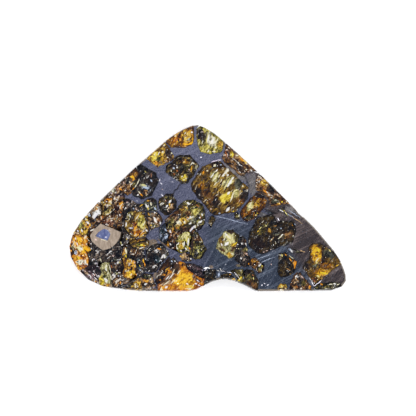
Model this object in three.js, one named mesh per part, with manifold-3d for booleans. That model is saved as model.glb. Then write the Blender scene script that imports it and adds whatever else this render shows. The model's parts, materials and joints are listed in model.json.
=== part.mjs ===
import * as THREE from "three";
import Module from "manifold-3d";
import { mergeVertices } from "three/addons/utils/BufferGeometryUtils.js";

const wasm = await Module();
wasm.setup();

// Driving dimensions, mm
const THICKNESS = 3.0; // from the back face at z 0 to the polished face
const CHAMFER = 0.28; // ground off the outer edge, front and back
const GAP = 0.24; // left free round every grain
const SMOOTH = 0.115; // a bent outline keeps this close to its curve
const OVERCUT = 0.5; // how far raw solids pass the faces that cut them
const LEAN = 0.5; // how far a grain's wall moves sideways between front and back, about
const SINK = 0.05; // grains lie this much under the polished metal, front and back
const PIT_FLOOR = 2.45; // height of the pits' floors
const CRACK_FLOOR = 2.7;
const CRACK_WIDTH = 0.22;
const BIG_GRAIN = 1.7; // half the width of a grain that gets more sloping faces
const FRONT_FACES = 3; // sloping faces on the front of a grain
const MORE_FACES = 2;
const BACK_FACES = 2;
const SHARP_CORNER = 0.5; // a corner's mitre shorter than this share of an edge is cut off

// The lean of the walls turns slowly over the slice. Waves as [per mm of x, per mm of y, phase, height].
const LEAN_X = [
  [0.17, 0.31, 0.6, 1],
  [0.43, 0, -1.1, 0.5],
];
const LEAN_Y = [
  [0.27, -0.21, Math.PI / 2, 1],
  [0, 0.39, 2.0, 0.5],
];
const LEFT_PACK = { edge: -9, at: new THREE.Vector2(-18, -6) }; // grains left of the edge lean alike
const LOWER_PACK = { edge: 0, top: 2, at: new THREE.Vector2(-4, -7) };

// Outlines, mm, drawn in a frame near the middle of the slice and centred at the end.

// Cut edge of the slice, clockwise from beside the apex.
function sliceEdge() {
  const edge = new THREE.Path();
  const curve = (...points) => edge.splineThru(points.map(([x, y]) => new THREE.Vector2(x, y)));
  edge.moveTo(-0.8, 16.2);
  edge.lineTo(1.1, 15.0);
  edge.lineTo(6.25, 10.5);
  edge.lineTo(12.2, 4.8);
  edge.lineTo(17.4, -0.5);
  curve([18.0, -1.35], [19.0, -2.05]);
  edge.lineTo(21.0, -4.0);
  edge.lineTo(25.0, -8.8);
  curve([26.2, -10.7], [26.9, -12.7], [27.3, -14.2], [26.7, -15.6], [24.4, -16.5]);
  edge.lineTo(9.3, -16.6);
  curve([6.8, -15.3], [4.6, -14.45], [2.9, -14.2], [1.2, -14.5], [-0.8, -15.4], [-2.6, -16.35]);
  edge.lineTo(-4.4, -16.66);
  edge.lineTo(-14.0, -16.6);
  curve([-18.4, -16.1], [-22.2, -15.4], [-25.2, -13.5], [-27.2, -10.7], [-27.9, -8.2], [-27.2, -5.3]);
  edge.lineTo(-25.4, -2.4);
  edge.lineTo(-22.6, 0.65);
  edge.lineTo(-18.9, 4.25);
  edge.lineTo(-14.4, 8.45);
  edge.lineTo(-9.05, 13.2);
  curve([-6.7, 15.0], [-4.6, 16.1], [-2.7, 16.78], [-0.8, 16.2]);
  return edge.getPoints(1).slice(0, -1).reverse();
}

// Grains in the order in which they keep their ground: a later one gives way to an earlier one.
// bent: the outline runs in curves through its points. relief: how far its faces slope, in degrees.
const AMBER = 0xb8720f;
const YELLOW = 0xc9a82a;
const OLIVE = 0x6f6a2c;
const BROWN = 0x4a3218;
const DARK = 0x1f1c18;
const PALE = 0xd8cf8a;

const GRAINS = [
  {
    name: "olivine_apex_left", colour: AMBER, bent: true, relief: 6,
    at: [[-9.7, 14.4], [-6.6, 17.3], [-4.0, 17.4], [-3.2, 16.4], [-3.0, 15.2], [-3.05, 13.8], [-3.6, 12.8],
      [-4.8, 12.25], [-6.3, 12.1], [-7.8, 12.35], [-8.8, 13.1]],
  },
  {
    name: "olivine_apex_right", colour: YELLOW, bent: true, relief: 6,
    at: [[-2.7, 14.9], [-2.6, 15.8], [-1.9, 16.4], [-1.2, 17.4], [1.2, 17.0], [4.0, 14.2], [2.95, 13.1],
      [2.95, 12.1], [2.3, 11.3], [1.0, 11.0], [-0.6, 11.0], [-1.7, 11.4], [-2.05, 12.7], [-2.5, 13.9]],
  },
  {
    name: "olivine_upper_left_edge", colour: YELLOW, bent: true, relief: 6,
    at: [[-13.2, 11.0], [-9.9, 14.2], [-8.9, 12.75], [-8.1, 12.0], [-7.5, 11.0], [-7.2, 10.1], [-8.0, 9.3],
      [-9.1, 8.6], [-10.3, 8.35], [-11.3, 9.1]],
  },
  {
    name: "olivine_round_upper", colour: DARK, bent: true, relief: 7,
    at: [[-8.5, 7.8], [-7.9, 9.0], [-6.9, 9.9], [-5.3, 10.5], [-4.0, 10.45], [-2.9, 9.5], [-2.1, 8.5],
      [-2.05, 7.5], [-2.7, 6.5], [-3.7, 5.6], [-4.7, 4.95], [-5.7, 5.05], [-6.8, 6.0], [-8.0, 6.8]],
  },
  {
    name: "olivine_largest", colour: OLIVE, bent: true, relief: 4,
    at: [[-3.45, 4.9], [-3.45, 3.7], [-2.9, 2.7], [-0.9, 0.6], [0.1, -0.8], [1.3, -1.4], [2.6, -1.1],
      [4.3, -1.1], [5.5, -0.7], [6.7, 0.5], [7.65, 1.7], [7.75, 3.9], [6.9, 5.0], [5.2, 6.35], [3.8, 7.5],
      [2.8, 8.7], [1.8, 9.4], [0.5, 8.8], [-0.9, 8.45], [-1.9, 7.5], [-2.8, 6.2]],
  },
  {
    name: "olivine_right_edge_upper", colour: AMBER, bent: false, relief: 9,
    at: [[3.4, 13.1], [4.6, 14.0], [11.8, 7.2], [9.9, 7.0], [9.0, 7.3], [7.6, 7.1], [6.9, 6.4], [6.0, 6.7],
      [5.2, 7.5], [4.2, 8.3], [3.2, 9.2], [2.7, 10.0], [2.85, 11.0], [3.2, 12.1]],
  },
  {
    name: "olivine_right_edge_lower", colour: BROWN, bent: false, relief: 8,
    at: [[9.7, 6.3], [11.2, 7.3], [17.9, 1.0], [16.0, 0.95], [14.2, 0.65], [13.4, 0.35], [12.7, 0.3],
      [12.1, 0.8], [12.0, 1.6], [11.3, 2.6], [10.7, 3.2], [10.0, 3.4], [9.4, 3.9], [9.3, 4.7]],
  },
  {
    name: "olivine_oval", colour: AMBER, bent: true, relief: 6,
    at: [[6.6, -0.2], [7.7, 1.1], [8.6, 2.1], [9.4, 2.95], [10.2, 3.0], [11.0, 2.3], [11.4, 1.2],
      [11.0, -0.1], [10.1, -0.9], [9.4, -1.9], [8.3, -2.5], [7.3, -2.7], [6.5, -1.9], [6.2, -0.9]],
  },
  {
    name: "olivine_oval_sliver", colour: OLIVE, bent: false, relief: 4,
    at: [[5.15, -1.3], [5.6, -1.05], [6.0, -1.5], [6.1, -2.2], [5.6, -2.35], [5.2, -2.0]],
  },
  {
    name: "olivine_shoulder_dark", colour: DARK, bent: true, relief: 7,
    at: [[-14.9, 9.2], [-13.7, 8.3], [-12.6, 7.5], [-11.1, 7.0], [-10.4, 6.0], [-10.3, 5.1], [-10.9, 4.3],
      [-11.5, 3.3], [-11.7, 2.4], [-13.1, 1.75], [-14.5, 2.2], [-15.4, 3.0], [-15.2, 4.1], [-14.5, 5.3],
      [-14.3, 6.8]],
  },
  {
    name: "olivine_shoulder_amber", colour: AMBER, bent: false, relief: 9,
    at: [[-14.4, 9.4], [-18.9, 6.0], [-17.5, 4.6], [-17.3, 3.2], [-16.4, 2.5], [-15.7, 3.1], [-15.0, 4.3],
      [-14.4, 5.6], [-14.3, 6.8]],
  },
  {
    name: "olivine_small_dark", colour: DARK, bent: true, relief: 7,
    at: [[-10.1, 0.8], [-9.5, 1.9], [-8.4, 2.6], [-7.5, 2.55], [-6.8, 1.6], [-6.6, 0.4], [-7.0, -0.8],
      [-8.0, -1.4], [-9.2, -1.0], [-10.0, -0.2]],
  },
  {
    name: "olivine_diagonal_upper", colour: YELLOW, bent: true, relief: 6,
    at: [[-6.0, 0.1], [-5.1, 1.0], [-4.2, 1.5], [-2.7, 1.35], [-1.5, 0.6], [-0.9, -0.6], [-0.8, -2.2],
      [-1.1, -3.6], [-1.9, -4.5], [-2.8, -4.4], [-3.6, -3.9], [-4.4, -4.5], [-5.7, -4.7], [-6.8, -4.8],
      [-6.9, -3.6], [-6.5, -2.6], [-5.8, -1.6]],
  },
  {
    name: "olivine_diagonal_yellow", colour: PALE, bent: false, relief: 8,
    at: [[-6.7, -6.7], [-5.9, -5.6], [-4.9, -5.05], [-3.8, -4.9], [-3.5, -5.7], [-3.9, -7.0], [-4.1, -8.7],
      [-5.0, -9.0], [-5.9, -8.9], [-6.5, -8.2]],
  },
  {
    name: "olivine_diagonal_olive", colour: OLIVE, bent: true, relief: 6,
    at: [[-3.2, -5.3], [-2.3, -4.9], [-1.9, -5.9], [-1.2, -7.1], [-0.5, -8.2], [-0.7, -9.1], [-1.5, -10.1],
      [-2.3, -10.35], [-3.5, -9.9], [-4.1, -8.9], [-3.9, -7.4], [-3.4, -6.3]],
  },
  {
    name: "olivine_bead", colour: OLIVE, bent: true, relief: 5,
    at: [[-0.1, -2.6], [0.3, -1.9], [0.9, -1.7], [1.3, -2.3], [1.1, -3.0], [0.4, -3.8]],
  },
  {
    name: "olivine_pale", colour: PALE, bent: true, relief: 6,
    at: [[3.4, -4.75], [4.3, -4.45], [5.2, -4.8], [5.95, -5.7], [5.65, -7.0], [5.2, -8.5], [4.9, -9.8],
      [4.0, -10.1], [3.0, -9.5], [2.0, -8.9], [1.5, -8.2], [1.8, -7.0], [2.2, -5.9], [2.8, -5.2]],
  },
  {
    name: "olivine_beside_pale", colour: DARK, bent: false, relief: 7,
    at: [[5.9, -6.1], [6.6, -5.9], [7.3, -6.5], [7.5, -7.7], [7.7, -9.0], [8.1, -10.2], [7.9, -11.5],
      [7.0, -11.85], [6.2, -11.3], [5.2, -10.5], [5.1, -9.4], [5.5, -7.7]],
  },
  {
    name: "olivine_chain_end", colour: BROWN, bent: true, relief: 6,
    at: [[8.2, -10.4], [9.0, -10.05], [9.9, -10.8], [10.8, -11.4], [10.9, -12.4], [10.1, -13.0],
      [9.2, -12.6], [8.7, -12.0], [8.1, -11.5]],
  },
  {
    name: "olivine_large_dark", colour: DARK, bent: true, relief: 4,
    at: [[9.9, -2.0], [11.2, -1.65], [12.4, -1.4], [13.2, -2.1], [13.6, -3.3], [14.3, -2.7], [15.4, -2.75],
      [16.8, -2.8], [17.3, -4.0], [17.1, -5.8], [16.4, -7.0], [14.9, -7.6], [13.1, -8.1], [11.4, -8.7],
      [10.3, -9.3], [9.0, -8.8], [8.1, -7.7], [8.0, -5.6], [8.4, -4.2], [9.0, -3.0]],
  },
  {
    name: "olivine_orange_corner", colour: BROWN, bent: false, relief: 7,
    at: [[14.0, -9.3], [15.1, -9.15], [16.2, -9.9], [17.5, -10.9], [17.1, -12.2], [16.8, -13.0],
      [15.7, -13.7], [14.5, -13.9], [13.7, -12.9], [13.9, -11.2]],
  },
  {
    name: "olivine_right_corner", colour: YELLOW, bent: false, relief: 6,
    at: [[19.9, -8.1], [20.7, -7.3], [22.2, -7.2], [23.1, -7.8], [24.3, -8.8], [26.0, -9.2], [28.4, -9.7],
      [26.2, -11.2], [24.3, -12.6], [22.4, -14.3], [21.0, -15.4], [20.1, -14.2], [19.4, -12.8],
      [18.7, -11.9], [19.2, -11.0], [20.1, -10.5], [20.1, -9.3]],
  },
  {
    name: "olivine_lower_right_brown", colour: BROWN, bent: false, relief: 8,
    at: [[16.2, -15.4], [16.8, -13.9], [17.5, -13.1], [18.2, -13.1], [18.7, -14.0], [19.6, -14.9],
      [20.3, -15.8], [20.4, -18.0], [15.8, -18.0]],
  },
  {
    name: "olivine_lower_right_edge", colour: OLIVE, bent: false, relief: 8,
    at: [[20.9, -16.0], [21.6, -15.4], [23.4, -15.1], [25.3, -15.0], [26.1, -15.3], [26.8, -17.0],
      [24.0, -18.4], [20.8, -18.2]],
  },
  {
    name: "olivine_lower_edge_bead", colour: YELLOW, bent: false, relief: 6,
    at: [[13.8, -15.8], [14.3, -15.35], [15.1, -15.3], [15.4, -15.9], [15.6, -18.0], [13.6, -18.0]],
  },
  {
    name: "olivine_notch_right", colour: BROWN, bent: false, relief: 6,
    at: [[6.9, -12.9], [7.5, -12.5], [8.7, -12.6], [9.2, -13.6], [9.7, -14.9], [9.6, -16.2], [9.6, -18.0],
      [6.2, -16.4], [6.7, -14.6], [6.95, -13.7]],
  },
  {
    name: "olivine_notch_middle", colour: YELLOW, bent: false, relief: 6,
    at: [[4.3, -12.8], [5.2, -12.25], [6.6, -12.1], [6.75, -13.0], [6.7, -14.2], [6.4, -16.4], [5.5, -16.2],
      [5.6, -14.3], [5.0, -13.5]],
  },
  {
    name: "olivine_notch_left", colour: OLIVE, bent: false, relief: 6,
    at: [[2.3, -13.5], [3.4, -13.15], [4.4, -13.3], [5.2, -14.0], [5.6, -16.2], [2.2, -16.0]],
  },
  {
    name: "olivine_notch_dark", colour: DARK, bent: false, relief: 6,
    at: [[-1.0, -12.8], [0.3, -12.4], [1.2, -12.6], [1.3, -13.4], [1.2, -16.0], [-0.9, -17.4],
      [-0.8, -14.2]],
  },
  {
    name: "olivine_lower_edge_amber", colour: AMBER, bent: false, relief: 5,
    at: [[-10.0, -15.4], [-9.0, -14.4], [-8.3, -13.4], [-7.5, -12.0], [-6.8, -11.2], [-5.9, -10.95],
      [-4.6, -11.1], [-4.35, -12.2], [-3.4, -13.1], [-2.3, -13.9], [-1.0, -14.3], [-0.9, -18.2],
      [-10.2, -18.2]],
  },
  {
    name: "olivine_lower_dark_wedge", colour: DARK, bent: false, relief: 7,
    at: [[-4.3, -11.2], [-2.6, -11.5], [-1.4, -12.1], [-1.2, -12.8], [-0.9, -13.4], [-0.95, -14.2],
      [-2.2, -13.8], [-3.3, -13.0], [-4.3, -12.3]],
  },
  {
    name: "olivine_lower_bead", colour: OLIVE, bent: true, relief: 6,
    at: [[-7.9, -10.7], [-7.3, -10.25], [-6.6, -10.45], [-6.4, -11.0], [-7.1, -11.6], [-7.7, -11.5]],
  },
  {
    name: "olivine_brown_band", colour: BROWN, bent: false, relief: 6,
    at: [[-8.2, -9.4], [-7.9, -10.2], [-7.8, -11.4], [-7.3, -12.2], [-8.2, -13.2], [-8.9, -14.3],
      [-9.8, -15.6], [-10.45, -14.9], [-10.2, -13.2], [-9.3, -11.7], [-8.6, -10.6]],
  },
  {
    name: "olivine_lower_dark", colour: DARK, bent: false, relief: 7,
    at: [[-12.5, -8.2], [-11.4, -7.8], [-10.3, -7.5], [-9.5, -7.5], [-8.6, -8.4], [-8.2, -9.2],
      [-8.7, -10.4], [-9.4, -11.5], [-10.3, -12.7], [-11.6, -12.9], [-12.3, -12.5], [-12.7, -11.6],
      [-12.4, -10.2], [-12.7, -9.2]],
  },
  {
    name: "olivine_diagonal_brown", colour: BROWN, bent: false, relief: 7,
    at: [[-5.8, 0], [-7.2, -1.2], [-8.6, -2.5], [-8.5, -4.6], [-8, -5.5], [-8.2, -6.6], [-8.6, -7.3],
      [-7.8, -7.9], [-7, -8.3], [-6, -8.8], [-5.6, -6], [-4, -5.1], [-2.9, -5.4], [-2.5, -4.2], [-4.4, -3],
      [-5.6, -1.8]],
  },
  {
    name: "olivine_diagonal_foot", colour: BROWN, bent: false, relief: 6,
    at: [[-5.7, -9.6], [-4.9, -9.25], [-4.1, -9.5], [-3.6, -10.2], [-3.8, -10.8], [-5.2, -10.5]],
  },
  {
    name: "olivine_grey_glints", colour: DARK, bent: false, relief: 9,
    at: [[-9.8, -4.1], [-9.2, -3.7], [-8.8, -3.2], [-8.6, -4.7], [-8.2, -5.5], [-8.4, -6.6], [-9.0, -7.2],
      [-9.6, -6.8], [-9.7, -5.9]],
  },
  {
    name: "olivine_swirl", colour: OLIVE, bent: true, relief: 9,
    at: [[-15.3, -6.1], [-14.0, -6.0], [-12.8, -6.2], [-12.1, -7.0], [-12.9, -8.1], [-14.0, -8.5],
      [-15.2, -8.1], [-15.9, -7.3], [-16.0, -6.5]],
  },
  {
    name: "olivine_left_amber", colour: YELLOW, bent: true, relief: 8,
    at: [[-16.2, -0.9], [-14.8, -0.7], [-13.2, -0.9], [-12.7, -1.6], [-12.5, -3.0], [-12.1, -4.1],
      [-12.2, -5.1], [-13.0, -5.8], [-15.2, -5.8], [-16.2, -5.0], [-16.9, -4.0], [-16.9, -2.4]],
  },
  {
    name: "olivine_grey_green", colour: OLIVE, bent: false, relief: 10,
    at: [[-12.9, 0.9], [-12.2, 1.5], [-11.4, 1.9], [-10.7, 1.4], [-10.4, 0.4], [-10.5, -0.6],
      [-12.3, -0.6], [-12.9, 0.0]],
  },
  {
    name: "olivine_white_glints", colour: PALE, bent: false, relief: 10,
    at: [[-12.3, -1.0], [-11.2, -0.9], [-10.3, -1.2], [-9.8, -2.0], [-9.5, -3.0], [-9.8, -3.6],
      [-10.8, -3.9], [-11.7, -4.4], [-12.1, -3.4], [-12.3, -2.2]],
  },
  {
    name: "olivine_amber_column", colour: AMBER, bent: false, relief: 10,
    at: [[-17.1, -7.9], [-16.5, -7.7], [-16.3, -8.6], [-16.5, -10.2], [-15.6, -10.4], [-14.7, -10.7],
      [-14.6, -11.6], [-14.7, -12.8], [-14.8, -13.8], [-15.6, -14.3], [-16.6, -14.1], [-17.3, -13.6],
      [-17.2, -12.8], [-16.7, -12.0], [-17.3, -10.6], [-17.4, -8.8]],
  },
  {
    name: "olivine_yellow_green", colour: YELLOW, bent: false, relief: 9,
    at: [[-21.6, -11.1], [-20.9, -10.9], [-20.0, -11.2], [-19.8, -12.8], [-19.5, -14.3], [-19.7, -15.4],
      [-19.9, -17.8], [-22.2, -17.6], [-21.9, -15.2], [-22.0, -14.2], [-21.4, -13.0], [-21.7, -12.1]],
  },
  {
    name: "olivine_left_edge_amber", colour: AMBER, bent: false, relief: 9,
    at: [[-26.9, -5.3], [-25.6, -5.4], [-24.8, -5.2], [-24.2, -5.6], [-24.2, -7.6], [-23.6, -8.5],
      [-24.4, -9.3], [-24, -10.6], [-24, -11.6], [-25, -12.1], [-26.7, -14], [-30, -10], [-29.6, -4.6]],
  },
  {
    name: "olivine_left_edge_pale", colour: PALE, bent: false, relief: 9,
    at: [[-24.4, -1.7], [-23.8, -2.7], [-23.7, -3.6], [-24.2, -4.3], [-24.5, -5.9], [-25.6, -5.9],
      [-29.2, -5.6], [-26, 0]],
  },
  {
    name: "olivine_left_edge_glints", colour: PALE, bent: false, relief: 10,
    at: [[-21.9, 1.0], [-21.6, -0.2], [-21.6, -1.4], [-22.6, -2.2], [-23.4, -2.4], [-24.4, -1.8],
      [-26.2, -0.3], [-23.4, 2.8]],
  },
  {
    name: "olivine_bottom_left_gold", colour: AMBER, bent: false, relief: 9,
    at: [[-16.6, -16.0], [-15.2, -15.0], [-14.1, -14.3], [-13.4, -14.7], [-13.3, -15.6], [-13.4, -18.0],
      [-16.9, -18.0]],
  },
  {
    name: "olivine_bottom_left_cap", colour: DARK, bent: false, relief: 9,
    at: [[-13.9, -14.1], [-13.1, -13.5], [-11.9, -13.4], [-11.2, -13.6], [-11.0, -14.4], [-10.8, -15.4],
      [-10.6, -18.0], [-13.2, -18.0], [-13.0, -15.4]],
  },
  {
    name: "olivine_upper_left_brown", colour: BROWN, bent: false, relief: 10,
    at: [[-17.3, 4.8], [-18.6, 6.4], [-22.8, 2.9], [-21.1, 1.8], [-19.8, 2.1], [-18.8, 1.3], [-17.1, 2]],
  },
  {
    name: "olivine_left_tawny", colour: AMBER, bent: false, relief: 10,
    at: [[-22.8, 3], [-21, 2.1], [-20, 2.3], [-19.4, 1.7], [-19.5, 0.2], [-19.5, -1.1], [-20.6, -1.6],
      [-21.5, -1.5], [-21.4, 0.2], [-21.7, 1]],
  },
  {
    name: "olivine_left_brown", colour: BROWN, bent: false, relief: 10,
    at: [[-19.7, 1.6], [-18.7, 1.8], [-17.3, 2.4], [-17, 0.6], [-17.1, -1.2], [-17.4, -2.4], [-17.6, -3.9],
      [-18.6, -4.2], [-19.3, -2.4], [-19.3, -0.8]],
  },
  {
    name: "olivine_above_nodule", colour: BROWN, bent: false, relief: 10,
    at: [[-24.4, -1.9], [-23.4, -2.2], [-22.5, -1.9], [-21.5, -1.2], [-20.6, -1.4], [-19.5, -0.9],
      [-19.2, -2.4], [-18.3, -3.6], [-17.4, -4.6], [-20, -4.6], [-22.6, -4.2], [-24.3, -5.6], [-24.2, -4]],
  },
  {
    name: "olivine_black_gusset", colour: DARK, bent: false, relief: 9,
    at: [[-17.5, 1.9], [-16.5, 1.7], [-15.4, 1.3], [-14.4, 0.5], [-13, 0.6], [-12.8, -0.8], [-14, -1],
      [-16, -1.1], [-16.8, -2.4], [-16.8, -4.2], [-15.9, -5.4], [-15.8, -6.4], [-16.3, -7.4],
      [-17.8, -7.6], [-17.2, -5.2], [-18.2, -4.6], [-17.2, -2.4]],
  },
  {
    name: "olivine_black_centre", colour: DARK, bent: false, relief: 10,
    at: [[-16.7, -7], [-15, -7.6], [-13, -8], [-12.7, -8.6], [-12.6, -9.4], [-12.5, -10.6], [-12.8, -11.6],
      [-12.5, -12.4], [-13, -13.1], [-14.5, -13.9], [-15, -12], [-15.1, -10.2], [-16.9, -10],
      [-16.7, -8.6]],
  },
  {
    name: "olivine_black_under_nodule", colour: DARK, bent: false, relief: 10,
    at: [[-24.4, -6.2], [-22, -7.6], [-19.5, -7.6], [-18, -6.3], [-17.3, -7.3], [-17.2, -8.8],
      [-17.2, -10.6], [-18.4, -10.5], [-20, -11], [-21.8, -10.8], [-22.4, -11.7], [-24.2, -11.6],
      [-23.9, -10.4], [-24.4, -9.3], [-23.5, -8.5]],
  },
  {
    name: "olivine_lower_left_brown", colour: BROWN, bent: false, relief: 10,
    at: [[-24.3, -11.4], [-22.6, -11.6], [-21.7, -11.9], [-21.2, -13], [-21.8, -14.2], [-21.8, -15.2],
      [-22, -17.6], [-25.6, -16.6], [-28.2, -13.8], [-25.2, -11.8]],
  },
  {
    name: "olivine_black_lower", colour: DARK, bent: false, relief: 10,
    at: [[-20.2, -10.6], [-18.4, -10.4], [-17.3, -10.4], [-16.6, -11.8], [-16.9, -13], [-16.9, -13.9],
      [-15.6, -14], [-14.8, -13.6], [-14.3, -13.9], [-17.2, -16.2], [-17.6, -18], [-19.6, -17.8],
      [-19.3, -14.4], [-19.6, -12.8]],
  },
];

// Tan nodule and its metal core
const NODULE = [[-21.7, -3.2], [-20.1, -3.9], [-19.0, -4.3], [-17.6, -4.95], [-17.7, -6.0], [-18.5, -7.1],
  [-19.6, -8.1], [-21.1, -8.6], [-22.3, -7.8], [-23.4, -6.7], [-23.9, -5.6], [-23.0, -4.4]];
const NODULE_CORE = [[-22.6, -5.7], [-22.2, -5.0], [-21.0, -4.2], [-20.2, -4.5], [-19.7, -5.3],
  [-20.0, -6.1], [-20.3, -6.7], [-21.2, -6.3], [-22.2, -5.95]];

// Metal that runs between the packed grains: broad patches, and veins as [width, points].
const METAL_PATCHES = [
  [[-16.6, 2.0], [-15.8, 2.3], [-14.4, 1.9], [-13.3, 1.4], [-13.1, 1.0], [-14.1, 0.6], [-15.3, 1.4]],
  [[-12.1, -5.2], [-11.0, -4.3], [-9.9, -3.8], [-9.9, -5.8], [-10.4, -5.7], [-10.8, -5.5], [-11.4, -6.0],
    [-11.9, -5.6]],
  [[-12.1, -6.2], [-11.2, -6.8], [-10.5, -7.1], [-11.2, -7.6], [-11.9, -7.5]],
  [[-8.0, -9.0], [-7.5, -8.3], [-6.6, -8.7], [-5.3, -9.3], [-5.9, -9.7], [-5.9, -10.3], [-7.0, -10.0],
    [-7.9, -9.8]],
  [[-13.1, -13.2], [-12.8, -12.8], [-12.1, -12.7], [-11.3, -13.1], [-11.4, -13.35], [-12.4, -13.2]],
  [[-11.4, -13.0], [-10.4, -13.0], [-10.7, -14.0], [-11.0, -13.8]],
];
const METAL_VEINS = [
  [0.42, [[-2.85, 17.2], [-2.85, 15.0], [-2.6, 12.6]]],
  [0.36, [[3.3, 14.2], [3.05, 12.2], [2.7, 10.4]]],
  [0.36, [[-9.8, 13.9], [-8.8, 13.0], [-7.9, 12.2]]],
  [0.36, [[-8.0, 8.9], [-7.0, 10.0], [-6.2, 10.8]]],
  [0.36, [[-1.3, 8.7], [-2.05, 7.9], [-2.9, 6.2], [-3.9, 5.2]]],
  [0.4, [[8.2, 2.2], [7.3, 0.9], [6.4, -0.1], [5.9, -1.0]]],
  [0.36, [[4.3, -12.5], [5.2, -12.1], [6.9, -12.15], [8.7, -12.3], [9.6, -13.1]]],
  [0.36, [[2.4, -13.2], [4.2, -12.95], [5.1, -13.7], [5.5, -14.4]]],
  [0.4, [[19.2, -13.2], [20.0, -14.5], [20.9, -15.7], [22.2, -14.6]]],
  [0.5, [[20.6, -15.4], [20.6, -18.0]]],
  [0.36, [[-8.8, -2.2], [-7.4, -1.1], [-6.6, -0.35], [-5.9, 0.7]]],
  [0.4, [[7.4, -5.9], [7.8, -8.0], [8.0, -9.6]]],
  [0.36, [[-13.4, 1.2], [-12.6, 1.8], [-11.6, 2.2], [-10.9, 2.6]]],
  [0.5, [[-10.4, 1.6], [-10.3, 0.6], [-10.1, -0.8], [-9.4, -1.9], [-9.1, -2.9], [-9.9, -4.0]]],
  [0.36, [[-12.0, -5.4], [-12.2, -6.0], [-11.7, -7.0], [-12.2, -7.9], [-12.9, -8.4], [-12.6, -9.6],
    [-12.5, -10.8]]],
  [0.34, [[-10.3, -5.8], [-10.2, -6.5], [-9.1, -7.35], [-8.2, -8.2], [-7.7, -8.8]]],
  [0.36, [[-11.0, -7.2], [-10.2, -6.5]]],
  [0.4, [[-6.2, -9.9], [-5.6, -10.75], [-4.4, -11.05], [-3.2, -10.9]]],
  [0.34, [[-17.3, -16.0], [-15.0, -14.55], [-13.9, -13.85], [-12.8, -13.1]]],
  [0.36, [[-10.9, -13.5], [-10.1, -12.4], [-9.4, -11.4], [-8.4, -10.0], [-7.7, -9.3]]],
  [0.36, [[-11.0, -13.6], [-10.7, -14.9], [-10.35, -15.6], [-10.3, -18.0]]],
];

// Pits in the polished metal: a dark sliver, two shard beds, and a ragged bed above the notch
const PITS = [
  [[11.1, -0.45], [11.8, -0.5], [13.0, -1.0], [13.7, -1.2], [12.6, -1.3], [11.6, -1.1]],
  [[13.6, -0.4], [14.1, -0.1], [15.1, 0.1], [15.1, -0.8], [15.8, -1.8], [14.9, -1.2], [14.1, -0.9]],
  [[15.6, -8.2], [16.4, -8.1], [17.4, -8.4], [18.9, -8.9], [18.6, -9.1], [17.4, -9.2], [16.4, -9.2]],
  [[1.35, -12.55], [2.3, -12.4], [3.4, -12.8], [3.6, -13.0], [2.4, -13.2], [1.6, -13.0]],
];
const CRACKS = [
  [[-5.4, 5.05], [-6.0, 4.4], [-6.4, 3.7], [-7.0, 3.4], [-7.4, 2.3]],
  [[7.15, 6.3], [7.5, 5.3], [8.05, 4.1]],
];

// Repeatable scatter
function scatter(seed) {
  let state = seed * 7919 + 17;
  return () => {
    state = (state * 1664525 + 1013904223) % 4294967296;
    return state / 4294967296;
  };
}

const toVector = ([x, y]) => new THREE.Vector2(x, y);

// Counter-clockwise copy of an outline, as vectors
function loopOf(points) {
  const loop = points.map(toVector);
  return THREE.ShapeUtils.isClockWise(loop) ? loop.reverse() : loop;
}

// Outline that runs in curves through its points, without the samples that lie on a straight run
function bentLoop(points) {
  const through = new THREE.CatmullRomCurve3(points.map(([x, y]) => new THREE.Vector3(x, y, 0)), true);
  const samples = loopOf(through.getPoints(points.length * 3).slice(0, -1).map((p) => [p.x, p.y]));
  const kept = [samples[0]];
  for (let i = 1; i < samples.length; i++) {
    const last = kept[kept.length - 1];
    const next = samples[(i + 1) % samples.length];
    const chord = next.clone().sub(last);
    const off = Math.abs(chord.cross(samples[i].clone().sub(last))) / chord.length();
    if (off > SMOOTH) kept.push(samples[i]);
  }
  return kept;
}

// Outline moved outwards by a distance, or inwards by a negative one, with sharp corners cut short
function moved(loop, by) {
  const n = loop.length;
  return loop.flatMap((at, i) => {
    const before = at.clone().sub(loop[(i + n - 1) % n]).normalize();
    const after = loop[(i + 1) % n].clone().sub(at).normalize();
    const outBefore = new THREE.Vector2(before.y, -before.x);
    const outAfter = new THREE.Vector2(after.y, -after.x);
    const mitre = outBefore.clone().add(outAfter);
    const share = mitre.length() / 2;
    const bulges = before.cross(after) > 0;
    if (share < SHARP_CORNER && bulges === by > 0) {
      return [at.clone().addScaledVector(outBefore, by), at.clone().addScaledVector(outAfter, by)];
    }
    return [at.clone().addScaledVector(mitre.normalize(), by / Math.max(share, SHARP_CORNER))];
  });
}

// Outline of a strip of one width along an open line
function strip(width, points) {
  const path = points.map(toVector);
  const sides = path.map((at, i) => {
    const before = at.clone().sub(path[Math.max(i - 1, 0)]);
    const after = path[Math.min(i + 1, path.length - 1)].clone().sub(at);
    const along = before.normalize().add(after.normalize());
    const across = new THREE.Vector2(-along.y, along.x).normalize().multiplyScalar(width / 2);
    return [at.clone().add(across), at.clone().sub(across)];
  });
  const outline = [...sides.map((pair) => pair[0]), ...sides.map((pair) => pair[1]).reverse()];
  return loopOf(outline.map((p) => [p.x, p.y]));
}

function solidOf(geometry) {
  const bare = geometry.clone();
  for (const name of ["normal", "uv"]) bare.deleteAttribute(name);
  const joined = mergeVertices(bare, 1e-4);
  const mesh = {
    numProp: 3,
    vertProperties: new Float32Array(joined.attributes.position.array),
    triVerts: new Uint32Array(joined.index.array),
  };
  return new wasm.Manifold(new wasm.Mesh(mesh));
}

function prism(loop, from, to) {
  const options = { depth: to - from, bevelEnabled: false };
  return new THREE.ExtrudeGeometry(new THREE.Shape(loop), options).translate(0, 0, from);
}

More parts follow.
